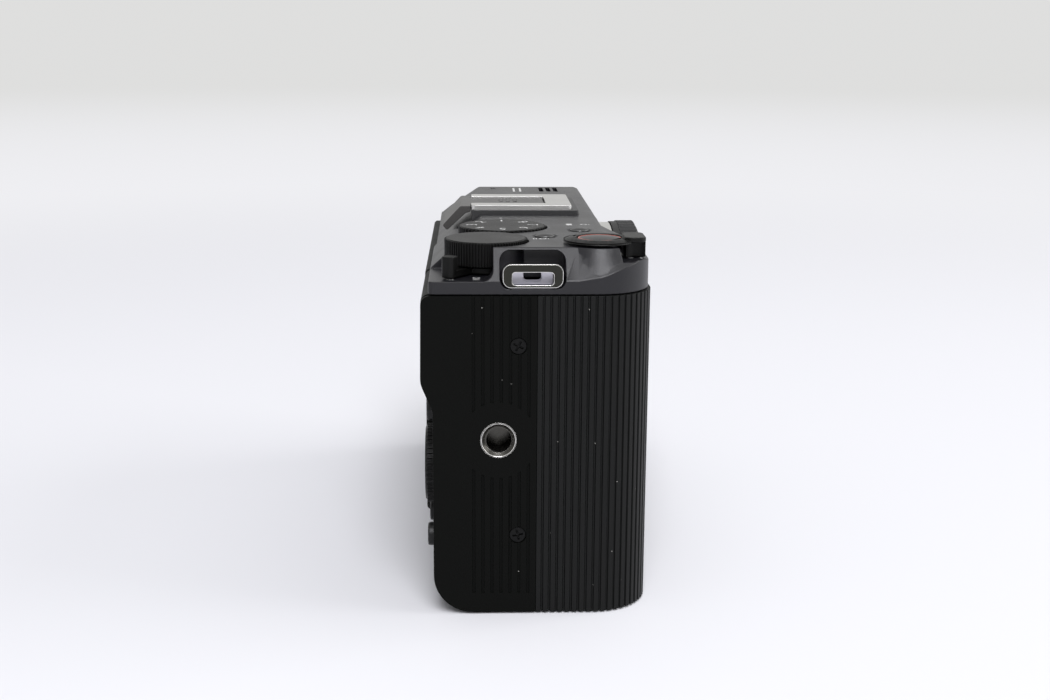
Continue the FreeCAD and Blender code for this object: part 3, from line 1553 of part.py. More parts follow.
def latch_pocket(gap):
    x = door_left + latch_inset
    y = (door_front + door_rear) / 2
    return (x - gap, x + latch_length + gap, y - latch_width / 2 - gap, y + latch_width / 2 + gap)


def battery_latch():
    x0, x1, y0, y1 = latch_pocket(0.0)
    solid = box(x0, x1, y0, y1, latch_foot, latch_height)
    for i in range(latch_ridges):
        x = x0 + latch_ridge_first + i * latch_ridge_pitch
        solid = solid.cut(box(x, x + latch_ridge_gap, y0 - 1, y1 + 1, 0, latch_ridge_depth))
    return solid


def battery_door_pin():
    return rod_y(door_pin_radius, door_front, door_rear, door_pin_x, door_pin_z)


# Port side

def port_room():
    """What the port panel, its doors and its sockets take off the port side."""
    face = body_half - skin - seat_gap
    room = soft_box_x(port_door_front - port_panel_front_rim, port_door_rear + port_panel_rear_rim,
                      port_panel_low, port_panel_high, port_panel_corner, face, body_half + 1)
    depth = port_face - socket_depth
    shell = cable_socket_wall + seat_gap
    holes = []
    for y, z in (microphone_place, headphone_place):
        holes.append(rod_x(jack_radius + seat_gap, depth, body_half + 1, y, z))
    for place, size in ((usb_place, usb_size), (hdmi_place, hdmi_size)):
        y, z = place
        across = size[0] / 2 + shell
        up = size[1] / 2 + shell
        holes.append(box(depth, body_half + 1, y - across, y + across, z - up, z + up))
    inner = port_pin_x - port_knuckle - running_gap
    for low, high in port_doors.values():
        holes.append(box(inner, body_half, port_pin_y - port_knuckle - running_gap,
                         port_pin_y + port_knuckle + running_gap, low - running_gap, high + running_gap))
    return room.fuse(holes)


def port_side_panel():
    """Hard panel round the two port doors."""
    gap = seat_gap
    face = body_half - skin
    solid = soft_box_x(port_door_front - port_panel_front_rim + gap, port_door_rear + port_panel_rear_rim - gap,
                       port_panel_low + gap, port_panel_high - gap, port_panel_corner - gap, face, body_half)
    for low, high in port_doors.values():
        solid = solid.cut(box(face - 1, body_half + 1, port_pin_y - port_knuckle - running_gap,
                              port_door_rear + running_gap, low - running_gap, high + running_gap))
    return solid


def port_door(low, high):
    """Flap over the sockets, with a rolled front edge that turns on its pin."""
    outer = body_half - port_door_sink
    inner = body_half - skin + port_door_sink
    flap = box(inner, outer, port_pin_y, port_door_rear, low, high)
    solid = flap.fuse(rod_z(port_knuckle, low, high, port_pin_x, port_pin_y))
    return solid.cut(rod_z(port_pin_radius + pin_gap, low - 1, high + 1, port_pin_x, port_pin_y))


def port_door_pins():
    pins = []
    for low, high in port_doors.values():
        pins.append(rod_z(port_pin_radius, low - running_gap, high + running_gap, port_pin_x, port_pin_y))
    return pins


def audio_jacks():
    made = []
    back = port_face - socket_depth
    for y, z in (microphone_place, headphone_place):
        body = rod_x(jack_radius, back, port_face, y, z)
        made.append(body.cut(rod_x(jack_bore, back + socket_back, port_face + 1, y, z)))
    return Part.makeCompound(made)


def cable_socket(place, size, tongue):
    """Metal shell of a flat socket with its inner tongue."""
    y, z = place
    across = size[0] / 2
    up = size[1] / 2
    wall = cable_socket_wall
    back = port_face - socket_depth
    floor = back + socket_back
    outer = soft_box_x(y - across - wall, y + across + wall, z - up - wall, z + up + wall, cable_socket_corner,
                       back, port_face)
    hollow = soft_box_x(y - across, y + across, z - up, z + up, cable_socket_corner - seam_gap, floor,
                        port_face + 1)
    inner = box(floor, port_face - tongue_sink, y - tongue / 2, y + tongue / 2, z - up + tongue_side,
                z + up - tongue_side)
    return outer.cut(hollow).fuse(inner)


def make_all():
    write(front_cover(), "front_cover")
    write(rear_cover(), "rear_cover")
    write(top_cover(), "top_cover")
    write(bottom_cover(), "bottom_cover")
    write(grip_rubber(), "grip_rubber")
    write(grip_side_panel(), "grip_side_panel")
    write(port_side_panel(), "port_side_panel")
    write(chassis(), "chassis")
    write(mount_boss(), "mount_boss")
    write(lens_mount_ring(), "lens_mount_ring")
    write(mount_screws(), "mount_screws")
    write(light_box(), "light_box")
    write(contact_block(), "contact_block")
    write(lens_contacts(), "lens_contacts")
    write(shutter_unit(), "shutter_unit")
    write(sensor_glass(), "sensor_glass")
    write(image_sensor(), "image_sensor")
    write(sensor_bracket(), "sensor_bracket")
    write(main_board(), "main_board")
    write(battery_bay(), "battery_bay")
    write(battery(), "battery")
    write(card_slot(), "card_slot")
    write(memory_card(), "memory_card")
    write(hot_shoe_frame(), "hot_shoe_frame")
    write(hot_shoe_rails(), "hot_shoe_rails")
    write(shoe_contacts(), "shoe_contacts")
    write(hot_shoe_cover(), "hot_shoe_cover")
    lugs = [strap_lug(-1), strap_lug(1), lug_plate(-1), lug_plate(1)]
    write(Part.makeCompound(lugs), "strap_lugs")
    write(side_tripod_socket(), "side_tripod_socket")
    write(bottom_tripod_socket(), "bottom_tripod_socket")
    write(Part.makeCompound(side_screws() + bottom_screws()), "case_screws")
    write(release_guide(), "release_guide")
    write(release_button(), "release_button")
    write(lock_pin(), "lock_pin")
    write(body_cap(), "body_cap")
    write(main_dial(), "main_dial")
    write(mode_dial(), "mode_dial")
    encoders = [dial_encoder(main_x, main_y, deck_ceiling), dial_encoder(mode_x, mode_y, deck_ceiling)]
    write(Part.makeCompound(encoders), "dial_encoders")
    write(power_switch(), "power_switch")
    write(shutter_button(), "shutter_button")
    write(zoom_lever(), "zoom_lever")
    for node, place in deck_button_places.items():
        write(deck_button(*place), node)
    write(control_wheel(), "control_wheel")
    write(set_button(), "set_button")
    for node, place in rear_button_places.items():
        write(rear_button(*place), node)
    write(screen_panel(), "screen_panel")
    write(screen_glass(), "screen_glass")
    write(screen_hinge(), "screen_hinge")
    write(battery_door(), "battery_door")
    write(battery_latch(), "battery_latch")
    for node, (low, high) in port_doors.items():
        write(port_door(low, high), node)
    pins = [screen_hinge_pin(), battery_door_pin()] + port_door_pins()
    write(Part.makeCompound(pins), "hinge_pins")
    write(audio_jacks(), "audio_jacks")
    write(cable_socket(usb_place, usb_size, usb_tongue), "usb_socket")
    write(cable_socket(hdmi_place, hdmi_size, hdmi_tongue), "hdmi_socket")


os.makedirs("parts", exist_ok=True)
make_all()
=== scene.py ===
import bpy
import bmesh
import json
import math
from mathutils import Matrix, Vector
from mathutils.bvhtree import BVHTree
from mathutils.geometry import delaunay_2d_cdt

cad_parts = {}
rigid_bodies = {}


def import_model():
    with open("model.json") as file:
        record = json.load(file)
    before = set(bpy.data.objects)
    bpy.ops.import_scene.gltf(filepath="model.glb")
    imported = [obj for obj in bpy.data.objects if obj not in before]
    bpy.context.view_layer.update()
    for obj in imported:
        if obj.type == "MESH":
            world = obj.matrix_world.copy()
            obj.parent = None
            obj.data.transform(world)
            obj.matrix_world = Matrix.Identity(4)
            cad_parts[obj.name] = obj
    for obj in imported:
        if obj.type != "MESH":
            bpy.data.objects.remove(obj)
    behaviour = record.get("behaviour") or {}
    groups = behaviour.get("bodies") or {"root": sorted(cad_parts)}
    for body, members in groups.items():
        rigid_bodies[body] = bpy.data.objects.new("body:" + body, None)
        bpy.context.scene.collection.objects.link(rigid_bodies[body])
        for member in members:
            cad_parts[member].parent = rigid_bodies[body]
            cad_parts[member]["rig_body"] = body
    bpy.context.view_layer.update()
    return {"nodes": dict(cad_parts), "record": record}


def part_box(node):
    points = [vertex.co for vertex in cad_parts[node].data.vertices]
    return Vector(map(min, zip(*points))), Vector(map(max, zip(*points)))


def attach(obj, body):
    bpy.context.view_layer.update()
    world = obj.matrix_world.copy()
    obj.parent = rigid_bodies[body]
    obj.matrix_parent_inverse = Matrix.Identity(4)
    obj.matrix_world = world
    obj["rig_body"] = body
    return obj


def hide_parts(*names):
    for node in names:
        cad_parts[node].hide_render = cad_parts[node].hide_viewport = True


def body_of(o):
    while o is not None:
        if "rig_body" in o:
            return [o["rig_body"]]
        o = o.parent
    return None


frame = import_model()
mm = 0.001
print("frame loaded:", len(frame["nodes"]), "nodes")

# Camera, floor and light

studio = {
    "cameraPlace": (-324.15, 13.77, 112.55),
    "cameraDown": 12.67,
    "cameraTurn": 2.12,
    "cameraRoll": 0.32,
    "focalPixels": 1440.0,
    "imageWidth": 1050.0,
    "sensorWidth": 36.0,
    "clip": (0.01, 100.0),
    "backgroundFar": (0.735, 0.735, 0.73),
    "backgroundNear": (0.87, 0.87, 0.90),
    "worldLight": 0.31,
    "worldColour": (0.97, 0.98, 1.0),
    "floorColour": (0.80, 0.80, 0.825),
    "floorSize": 60.0,
    "floorDrop": 0.05,
    "paperRough": 0.9,
    "paperSpecular": 0.1,
    "shadowReach": (0.22, 0.75),
    "paintedFalloffReach": (0.4, 2.6),
}
lights = {
    "overheadSoftbox": {"place": (-0.15, -0.3, 2.4), "aim": (0.0, 0.0, 0.0), "size": (3.2, 3.2),
                        "watts": 20.0},
    "slopeSoftbox": {"place": (-1.5, -0.1, 1.7), "aim": (0.0, 0.0, 0.05), "size": (1.0, 1.6), "watts": 42.0,
                     "colour": (0.96, 0.96, 1.0)},
    "rightSoftbox": {"place": (0.0, -1.9, 0.8), "aim": (0.0, 0.0, 0.05), "size": (1.6, 1.3), "watts": 18.0},
}


def makeCamera():
    down = math.radians(studio["cameraDown"])
    turn = math.radians(studio["cameraTurn"])
    roll = math.radians(studio["cameraRoll"])
    forward = Vector((math.cos(down) * math.cos(turn), -math.cos(down) * math.sin(turn), -math.sin(down)))
    level = Vector((-math.sin(turn), -math.cos(turn), 0.0))
    upright = level.cross(forward)
    right = level * math.cos(roll) + upright * math.sin(roll)
    up = right.cross(forward)
    lens = bpy.data.cameras.new("photoCamera")
    lens.sensor_fit = "HORIZONTAL"
    lens.sensor_width = studio["sensorWidth"]
    lens.lens = studio["focalPixels"] / studio["imageWidth"] * studio["sensorWidth"]
    lens.clip_start, lens.clip_end = studio["clip"]
    camera = bpy.data.objects.new("photoCamera", lens)
    bpy.context.scene.collection.objects.link(camera)
    facing = Matrix((right, up, -forward)).transposed()
    camera.matrix_world = Matrix.Translation(Vector(studio["cameraPlace"]) * mm) @ facing.to_4x4()
    bpy.context.scene.camera = camera


def areaLight(name, place, aim, size, watts, colour=(1.0, 1.0, 1.0)):
    lamp = bpy.data.lights.new(name, "AREA")
    lamp.shape = "RECTANGLE"
    lamp.size, lamp.size_y = size
    lamp.energy = watts
    lamp.color = colour
    holder = bpy.data.objects.new(name, lamp)
    bpy.context.scene.collection.objects.link(holder)
    holder.location = place
    holder.rotation_euler = (Vector(aim) - Vector(place)).to_track_quat("-Z", "Y").to_euler()


def makeWorld():
    world = bpy.data.worlds.new("studioAir")
    bpy.context.scene.world = world
    world.use_nodes = True
    nodes, links = world.node_tree.nodes, world.node_tree.links
    out = nodes["World Output"]
    ambient = nodes["Background"]
    ambient.inputs["Color"].default_value = (*studio["worldColour"], 1.0)
    ambient.inputs["Strength"].default_value = studio["worldLight"]
    seen = nodes.new("ShaderNodeBackground")
    seen.inputs["Color"].default_value = (*studio["backgroundFar"], 1.0)
    seen.inputs["Strength"].default_value = 1.0
    path = nodes.new("ShaderNodeLightPath")
    either = nodes.new("ShaderNodeMath")
    either.operation = "MAXIMUM"
    links.new(path.outputs["Is Camera Ray"], either.inputs[0])
    links.new(path.outputs["Is Glossy Ray"], either.inputs[1])
    through = nodes.new("ShaderNodeMath")
    through.operation = "MAXIMUM"
    links.new(either.outputs[0], through.inputs[0])
    links.new(path.outputs["Is Transmission Ray"], through.inputs[1])
    mix = nodes.new("ShaderNodeMixShader")
    links.new(through.outputs[0], mix.inputs[0])
    links.new(ambient.outputs[0], mix.inputs[1])
    links.new(seen.outputs[0], mix.inputs[2])
    links.new(mix.outputs[0], out.inputs["Surface"])


def makeFloor():
    half = studio["floorSize"] / 2
    mesh = bpy.data.meshes.new("paperFloor")
    corners = [(-half, -half, 0), (half, -half, 0), (half, half, 0), (-half, half, 0)]
    mesh.from_pydata(corners, [], [(0, 1, 2, 3)])
    floor = bpy.data.objects.new("paperFloor", mesh)
    bpy.context.scene.collection.objects.link(floor)
    floor.location.z = -studio["floorDrop"] * mm
    paper = bpy.data.materials.new("paperFloor")
    paper.use_nodes = True
    nodes, links = paper.node_tree.nodes, paper.node_tree.links
    shader = nodes["Principled BSDF"]
    shader.inputs["Roughness"].default_value = studio["paperRough"]
    shader.inputs["Specular IOR Level"].default_value = studio["paperSpecular"]
    shader.inputs["Base Color"].default_value = (*studio["floorColour"], 1.0)
    coords = nodes.new("ShaderNodeTexCoord")
    length = nodes.new("ShaderNodeVectorMath")
    length.operation = "LENGTH"
    links.new(coords.outputs["Object"], length.inputs[0])
    # Past the shadow's reach the camera sees an emission in place of the lit paper: a painted glow, lighter
    # near the object and darker far off, a painted falloff of light
    fades = []
    for near, far in (studio["shadowReach"], studio["paintedFalloffReach"]):
        fade = nodes.new("ShaderNodeMapRange")
        fade.interpolation_type = "SMOOTHSTEP"
        fade.inputs["From Min"].default_value = near
        fade.inputs["From Max"].default_value = far
        links.new(length.outputs["Value"], fade.inputs["Value"])
        fades.append(fade)
    tone = nodes.new("ShaderNodeMix")
    tone.data_type = "RGBA"
    tone.inputs["A"].default_value = (*studio["backgroundNear"], 1.0)
    tone.inputs["B"].default_value = (*studio["backgroundFar"], 1.0)
    links.new(fades[1].outputs["Result"], tone.inputs["Factor"])
    glow = nodes.new("ShaderNodeEmission")
    links.new(tone.outputs["Result"], glow.inputs["Color"])
    path = nodes.new("ShaderNodeLightPath")
    far = nodes.new("ShaderNodeMath")
    far.operation = "MULTIPLY"
    links.new(fades[0].outputs["Result"], far.inputs[0])
    links.new(path.outputs["Is Camera Ray"], far.inputs[1])
    both = nodes.new("ShaderNodeMixShader")
    links.new(far.outputs[0], both.inputs[0])
    links.new(shader.outputs[0], both.inputs[1])
    links.new(glow.outputs[0], both.inputs[2])
    links.new(both.outputs[0], nodes["Material Output"].inputs["Surface"])
    mesh.materials.append(paper)


makeCamera()
makeWorld()
makeFloor()
for name, values in lights.items():
    areaLight(name, **values)
bpy.context.scene.view_settings.view_transform = "Standard"
print("studio set")

# Finishes

texture = {
    "mottleScale": 140.0, "mottleDetail": 4.0, "grainDetail": 2.0, "grainHeight": 0.0001, "glossSpread": 0.06,
    "dustScale": 420.0, "dustSize": 0.045, "dustColour": (0.32, 0.31, 0.29),
}


# A moulded or turned surface: mottled colour, uneven gloss and a fine grain
def finish(name, colour, rough, specular=0.35, metal=0.0, grain=5200.0, relief=0.05, spread=0.1, dust=0.0,
           brush=None, coat=0.0, panel=None):
    mat = bpy.data.materials.new(name)
    mat.use_nodes = True
    nodes, links = mat.node_tree.nodes, mat.node_tree.links
    shader = nodes["Principled BSDF"]
    shader.inputs["Metallic"].default_value = metal
    shader.inputs["Specular IOR Level"].default_value = specular
    shader.inputs["Coat Weight"].default_value = coat
    coords = nodes.new("ShaderNodeTexCoord")
    place = nodes.new("ShaderNodeMapping")
    if brush is not None:
        place.inputs["Scale"].default_value = brush
    links.new(coords.outputs["Object"], place.inputs["Vector"])
    mottle = nodes.new("ShaderNodeTexNoise")
    mottle.inputs["Scale"].default_value = texture["mottleScale"]
    mottle.inputs["Detail"].default_value = texture["mottleDetail"]
    links.new(coords.outputs["Object"], mottle.inputs["Vector"])
    tone = nodes.new("ShaderNodeMix")
    tone.data_type = "RGBA"
    tone.inputs["A"].default_value = (*[c * (1 - spread) for c in colour], 1.0)
    tone.inputs["B"].default_value = (*[min(1.0, c * (1 + spread)) for c in colour], 1.0)
    links.new(mottle.outputs["Fac"], tone.inputs["Factor"])
    last = tone.outputs["Result"]
    if dust > 0:
        specks = nodes.new("ShaderNodeTexVoronoi")
        specks.inputs["Scale"].default_value = texture["dustScale"]
        specks.inputs["Randomness"].default_value = 1.0
        links.new(coords.outputs["Object"], specks.inputs["Vector"])
        near = nodes.new("ShaderNodeMath")
        near.operation = "LESS_THAN"
        near.inputs[1].default_value = texture["dustSize"]
        links.new(specks.outputs["Distance"], near.inputs[0])
        chosen = nodes.new("ShaderNodeSeparateColor")
        links.new(specks.outputs["Color"], chosen.inputs[0])
        rare = nodes.new("ShaderNodeMath")
        rare.operation = "LESS_THAN"
        rare.inputs[1].default_value = dust
        links.new(chosen.outputs[0], rare.inputs[0])
        both = nodes.new("ShaderNodeMath")
        both.operation = "MULTIPLY"
        links.new(near.outputs[0], both.inputs[0])
        links.new(rare.outputs[0], both.inputs[1])
        dusty = nodes.new("ShaderNodeMix")
        dusty.data_type = "RGBA"
        dusty.inputs["B"].default_value = (*texture["dustColour"], 1.0)
        links.new(both.outputs[0], dusty.inputs["Factor"])
        links.new(last, dusty.inputs["A"])
        last = dusty.outputs["Result"]
    if panel is not None:
        centre, half, tint = panel  # a lit-up area inside a dark border, as on a screen
        moved = nodes.new("ShaderNodeVectorMath")
        moved.operation = "SUBTRACT"
        moved.inputs[1].default_value = centre
        links.new(coords.outputs["Object"], moved.inputs[0])
        folded = nodes.new("ShaderNodeVectorMath")
        folded.operation = "ABSOLUTE"
        links.new(moved.outputs["Vector"], folded.inputs[0])
        parts = nodes.new("ShaderNodeSeparateXYZ")
        links.new(folded.outputs["Vector"], parts.inputs[0])
        inside = []
        for axis in ("X", "Z"):
            within = nodes.new("ShaderNodeMath")
            within.operation = "LESS_THAN"
            within.inputs[1].default_value = half["XYZ".index(axis)]
            links.new(parts.outputs[axis], within.inputs[0])
            inside.append(within)
        area = nodes.new("ShaderNodeMath")
        area.operation = "MULTIPLY"
        links.new(inside[0].outputs[0], area.inputs[0])
        links.new(inside[1].outputs[0], area.inputs[1])
        lit = nodes.new("ShaderNodeMix")
        lit.data_type = "RGBA"
        lit.inputs["B"].default_value = (*tint, 1.0)
        links.new(area.outputs[0], lit.inputs["Factor"])
        links.new(last, lit.inputs["A"])
        last = lit.outputs["Result"]
    links.new(last, shader.inputs["Base Color"])
    gloss = nodes.new("ShaderNodeMapRange")
    gloss.inputs["To Min"].default_value = rough - texture["glossSpread"]
    gloss.inputs["To Max"].default_value = rough + texture["glossSpread"]
    links.new(mottle.outputs["Fac"], gloss.inputs["Value"])
    links.new(gloss.outputs["Result"], shader.inputs["Roughness"])
    pores = nodes.new("ShaderNodeTexNoise")
    pores.inputs["Scale"].default_value = grain
    pores.inputs["Detail"].default_value = texture["grainDetail"]
    links.new(place.outputs["Vector"], pores.inputs["Vector"])
    bump = nodes.new("ShaderNodeBump")
    bump.inputs["Strength"].default_value = relief
    bump.inputs["Distance"].default_value = texture["grainHeight"]
    links.new(pores.outputs["Fac"], bump.inputs["Height"])
    links.new(bump.outputs["Normal"], shader.inputs["Normal"])
    return mat


finishes = {
    "moulded_body": finish("mouldedBlack", (0.0036, 0.0038, 0.0034), 0.46, 0.05, grain=4200,
                           relief=0.35, dust=0.55),
    "top_deck": finish("deckCharcoal", (0.0065, 0.0063, 0.0085), 0.36, 0.42, grain=6000,
                       relief=0.18, dust=0.02),
    "rubber_grip": finish("gripRubber", (0.0048, 0.0051, 0.0049), 0.46, 0.17, grain=5200,
                          relief=0.3, dust=0.65),
    "port_rubber": finish("doorRubber", (0.014, 0.014, 0.014), 0.62, 0.25, grain=5200, relief=0.2, dust=0.02),
    "dial_plastic": finish("dialPlastic", (0.0030, 0.0030, 0.0028), 0.40, 0.17, grain=5200,
                           relief=0.25, dust=0.01),
    "button_plastic": finish("buttonPlastic", (0.009, 0.009, 0.0095), 0.34, 0.30, grain=6000, relief=0.08),
    "cap_plastic": finish("capPlastic", (0.016, 0.016, 0.016), 0.55, 0.3, grain=4200, relief=0.35, dust=0.02),
    "mount_collar": finish("mountCollar", (0.50, 0.50, 0.52), 0.36, 0.5, metal=0.85, grain=2400, relief=0.12),
    "shoe_plastic": finish("shoePlastic", (0.030, 0.030, 0.031), 0.48, 0.4, grain=5200, relief=0.2),
    "bright_metal": finish("turnedSteel", (0.62, 0.62, 0.60), 0.30, 0.5, metal=1.0, grain=900,
                           brush=(1.0, 6.0, 1.0), relief=0.1),
    "shoe_metal": finish("shoeSteel", (0.60, 0.595, 0.58), 0.34, 0.5, metal=1.0, grain=1600,
                         brush=(1.0, 0.05, 1.0), relief=0.15),
    "lug_metal": finish("lugSteel", (0.036, 0.036, 0.031), 0.32, 0.5, metal=1.0, grain=1600, relief=0.08),
    "sheet_steel": finish("sheetSteel", (0.55, 0.55, 0.55), 0.34, 0.5, metal=1.0, grain=1200, relief=0.1),
    "screw_steel": finish("blackScrew", (0.005, 0.005, 0.005), 0.34, 0.12, metal=0.0, grain=1600, relief=0.1),
    "gold_contacts": finish("goldContact", (0.75, 0.55, 0.22), 0.25, 0.5, metal=1.0, grain=1600, relief=0.05),
    "dark_interior": finish("dullInterior", (0.01, 0.01, 0.01), 0.75, 0.2, grain=3000, relief=0.3),
    "cast_frame": finish("castFrame", (0.42, 0.42, 0.43), 0.5, 0.5, metal=1.0, grain=2600, relief=0.5),
    "circuit_board": finish("boardLacquer", (0.015, 0.09, 0.045), 0.35, 0.5, grain=1600, relief=0.2),
    "cell_case": finish("cellCase", (0.04, 0.04, 0.042), 0.5, 0.4, grain=4200, relief=0.2),
    "clear_glass": finish("coatedGlass", (0.10, 0.13, 0.16), 0.06, 0.6, grain=900, relief=0.0, coat=1.0),
    "screen_glass": finish("screenGlass", (0.006, 0.006, 0.007), 0.08, 0.6, grain=900, relief=0.0, coat=0.4,
                           panel=((0.01545, 0.0, 0.03585), (0.0345, 1.0, 0.0222), (0.013, 0.015, 0.02))),
    "sensor_face": finish("sensorFace", (0.05, 0.035, 0.075), 0.12, 0.6, grain=900, relief=0.0, coat=1.0),
    "hinge_metal": finish("blackHinge", (0.022, 0.022, 0.022), 0.36, 0.45, metal=0.2, grain=4200, relief=0.1),
}


# Every carried-over CAD solid takes the finish of its record slot
def dressNodes():
    for part in frame["record"]["subparts"]:
        solid = frame["nodes"][part["node"]]
        solid.data.materials.clear()
        solid.data.materials.append(finishes[part["material_slot"]])


dressNodes()
print("solids dressed")

# Softened edges: moulded and turned pieces get the small rounding that their tools leave, in millimetres

softened = {
    "top_cover": 0.22, "rear_cover": 0.25, "front_cover": 0.2, "bottom_cover": 0.2, "grip_side_panel": 0.1,
    "strap_lugs": 0.13, "side_tripod_socket": 0.06, "bottom_tripod_socket": 0.09, "grip_rubber": 0.1,
    "port_side_panel": 0.2, "cable_door": 0.15, "microphone_door": 0.15, "battery_door": 0.15,
    "battery_latch": 0.08, "body_cap": 0.12, "mount_boss": 0.2, "hot_shoe_frame": 0.15,
    "lens_mount_ring": 0.1, "main_dial": 0.08, "mode_dial": 0.08,
    "zoom_lever": 0.25, "power_switch": 0.3, "hot_shoe_rails": 0.12, "hot_shoe_cover": 0.15,
    "screen_hinge": 0.2,
    "control_wheel": 0.08, "record_button": 0.15, "still_movie_button": 0.15, "shutter_button": 0.2,
    "set_button": 0.2, "screen_panel": 0.2,
}

# Angles are in degrees, gaps in metres, areas in square metres and Near values in widths of the rounding
mending = {
    "crease": 24.0, "segments": 2, "mergeGap": 2e-6, "flatAngle": 1.0,
    "surfaceNear": 0.02, "strayNear": 0.6, "turnedNear": 0.3,
    "faceAlong": 0.9995, "groupAlong": 0.99999, "shadeAlong": 0.995, "sameSide": 0.8, "turnedOver": 0.3,
    "levelGap": 3e-6, "fillGap": 1e-9, "areaShare": 0.01, "areaGap": 2e-9,
    "tinyFace": 1e-10, "emptyFace": 1e-14, "leastArea": 1e-12,
}


# Even-odd test of a point against the sides of a flat shape
def within(p, sides):
    odd = False
    for a, b in sides:
        if (a.y > p.y) != (b.y > p.y) and p.x < (b.x - a.x) * (p.y - a.y) / (b.y - a.y) + a.x:
            odd = not odd
    return odd


# Flat areas are filled afresh from their rims, because the rounding can fold the narrow triangles in them
def refilled(work, surface, width):
    flat = {}
    for face in work.faces:
        face.normal_update()
        _, normal, _, gap = surface.find_nearest(face.calc_center_median())
        along = abs(normal.dot(face.normal)) > mending["faceAlong"] or face.calc_area() < mending["tinyFace"]
        if gap < mending["surfaceNear"] * width * mm and along:
            flat[face] = normal.copy()
    seen, old, fresh = set(), [], []
    for seed, up in flat.items():
        if seed in seen:
            continue
        level = up.dot(seed.verts[0].co)
        group, openEnds = [seed], [seed]
        seen.add(seed)
        while openEnds:
            for edge in openEnds.pop().edges:
                for face in edge.link_faces:
                    if face in seen or face not in flat or flat[face].dot(up) <= mending["groupAlong"]:
                        continue
                    if max(abs(up.dot(v.co) - level) for v in face.verts) < mending["levelGap"]:
                        seen.add(face)
                        group.append(face)
                        openEnds.append(face)
        if len(group) < 3:
            continue
        inside = set(group)
        rim = [e for face in group for e in face.edges if sum(f in inside for f in e.link_faces) == 1]
        corners = list(dict.fromkeys(v for e in rim for v in e.verts))  # in the same order each run
        spot = {v: i for i, v in enumerate(corners)}
        right = up.orthogonal().normalized()
        back = up.cross(right)
        plane = [Vector((v.co.dot(right), v.co.dot(back))) for v in corners]
        ends = [tuple(spot[v] for v in e.verts) for e in rim]
        made = delaunay_2d_cdt(plane, ends, [], 0, mending["fillGap"])
        filled, trios, origins = made[0], made[2], made[3]
        sides = [[plane[i] for i in pair] for pair in ends]
        kept = [trio for trio in trios if within(sum((filled[i] for i in trio), Vector((0, 0))) / 3, sides)]
        area = sum(abs((filled[b] - filled[a]).cross(filled[c] - filled[a])) / 2 for a, b, c in kept)
        before = sum(f.calc_area() * (1 if f.normal.dot(up) > 0 else -1) for f in group)
        if abs(area - before) > mending["areaShare"] * abs(before) + mending["areaGap"]:
            continue
        places = [corners[ids[0]] if ids else work.verts.new(right * p.x + back * p.y + up * level)
                  for p, ids in zip(filled, origins)]
        old += group
        fresh += [([places[i] for i in trio], seed.material_index) for trio in kept]
    bmesh.ops.delete(work, geom=old, context="FACES_ONLY")
    for trio, slot in fresh:
        if work.faces.get(trio) is None:
            face = work.faces.new(trio)
            face.material_index = slot
            face.smooth = True
    bmesh.ops.delete(work, geom=[e for e in work.edges if not e.link_faces], context="EDGES")
    bmesh.ops.delete(work, geom=[v for v in work.verts if not v.link_faces], context="VERTS")


# Where a rounding overshoots, its corners go back to the CAD surface, and faces that turned over are dropped
def settled(mesh, surface, width):
    work = bmesh.new()
    work.from_mesh(mesh)
    for corner in work.verts:
        place, _, _, gap = surface.find_nearest(corner.co)
        if gap > mending["strayNear"] * width * mm:
            corner.co = place
    refilled(work, surface, width)
    over = []
    for face in work.faces:
        face.normal_update()
        _, normal, _, gap = surface.find_nearest(face.calc_center_median())
        turnedOver = normal.dot(face.normal) < -mending["turnedOver"]
        flipped = turnedOver and gap < mending["turnedNear"] * width * mm
        if flipped or face.calc_area() < mending["emptyFace"]:
            over.append(face)
    bmesh.ops.delete(work, geom=over, context="FACES")
    work.to_mesh(mesh)
    work.free()


# Faces on the CAD surface keep their own direction up to the edge, and the roundings turn between them
def steadied(mesh, surface, width):
    flat, around = [], [[] for v in mesh.vertices]
    for face in mesh.polygons:
        _, normal, _, gap = surface.find_nearest(face.center)
        close = gap < mending["surfaceNear"] * width * mm
        flat.append(close and normal.dot(face.normal) > mending["shadeAlong"])
        for v in face.vertices:
            around[v].append(face.index)
    facing = [face.normal.copy() for face in mesh.polygons]
    wide = [max(face.area, mending["leastArea"]) for face in mesh.polygons]
    normals = []
    for face in mesh.polygons:
        own = facing[face.index]
        for v in face.vertices:
            near = [f for f in around[v] if flat[f]]
            if not flat[face.index] and near:
                own = max((facing[f] for f in near), key=facing[face.index].dot)
            if own.dot(facing[face.index]) < mending["turnedOver"] or not near:
                own, near = facing[face.index], around[v]
            total = Vector()
            for f in near:
                if facing[f].dot(own) > mending["sameSide"]:
                    total += facing[f] * wide[f]
            normals.append(total.normalized() if total.length > 0 else own)
    mesh.normals_split_custom_set(normals)
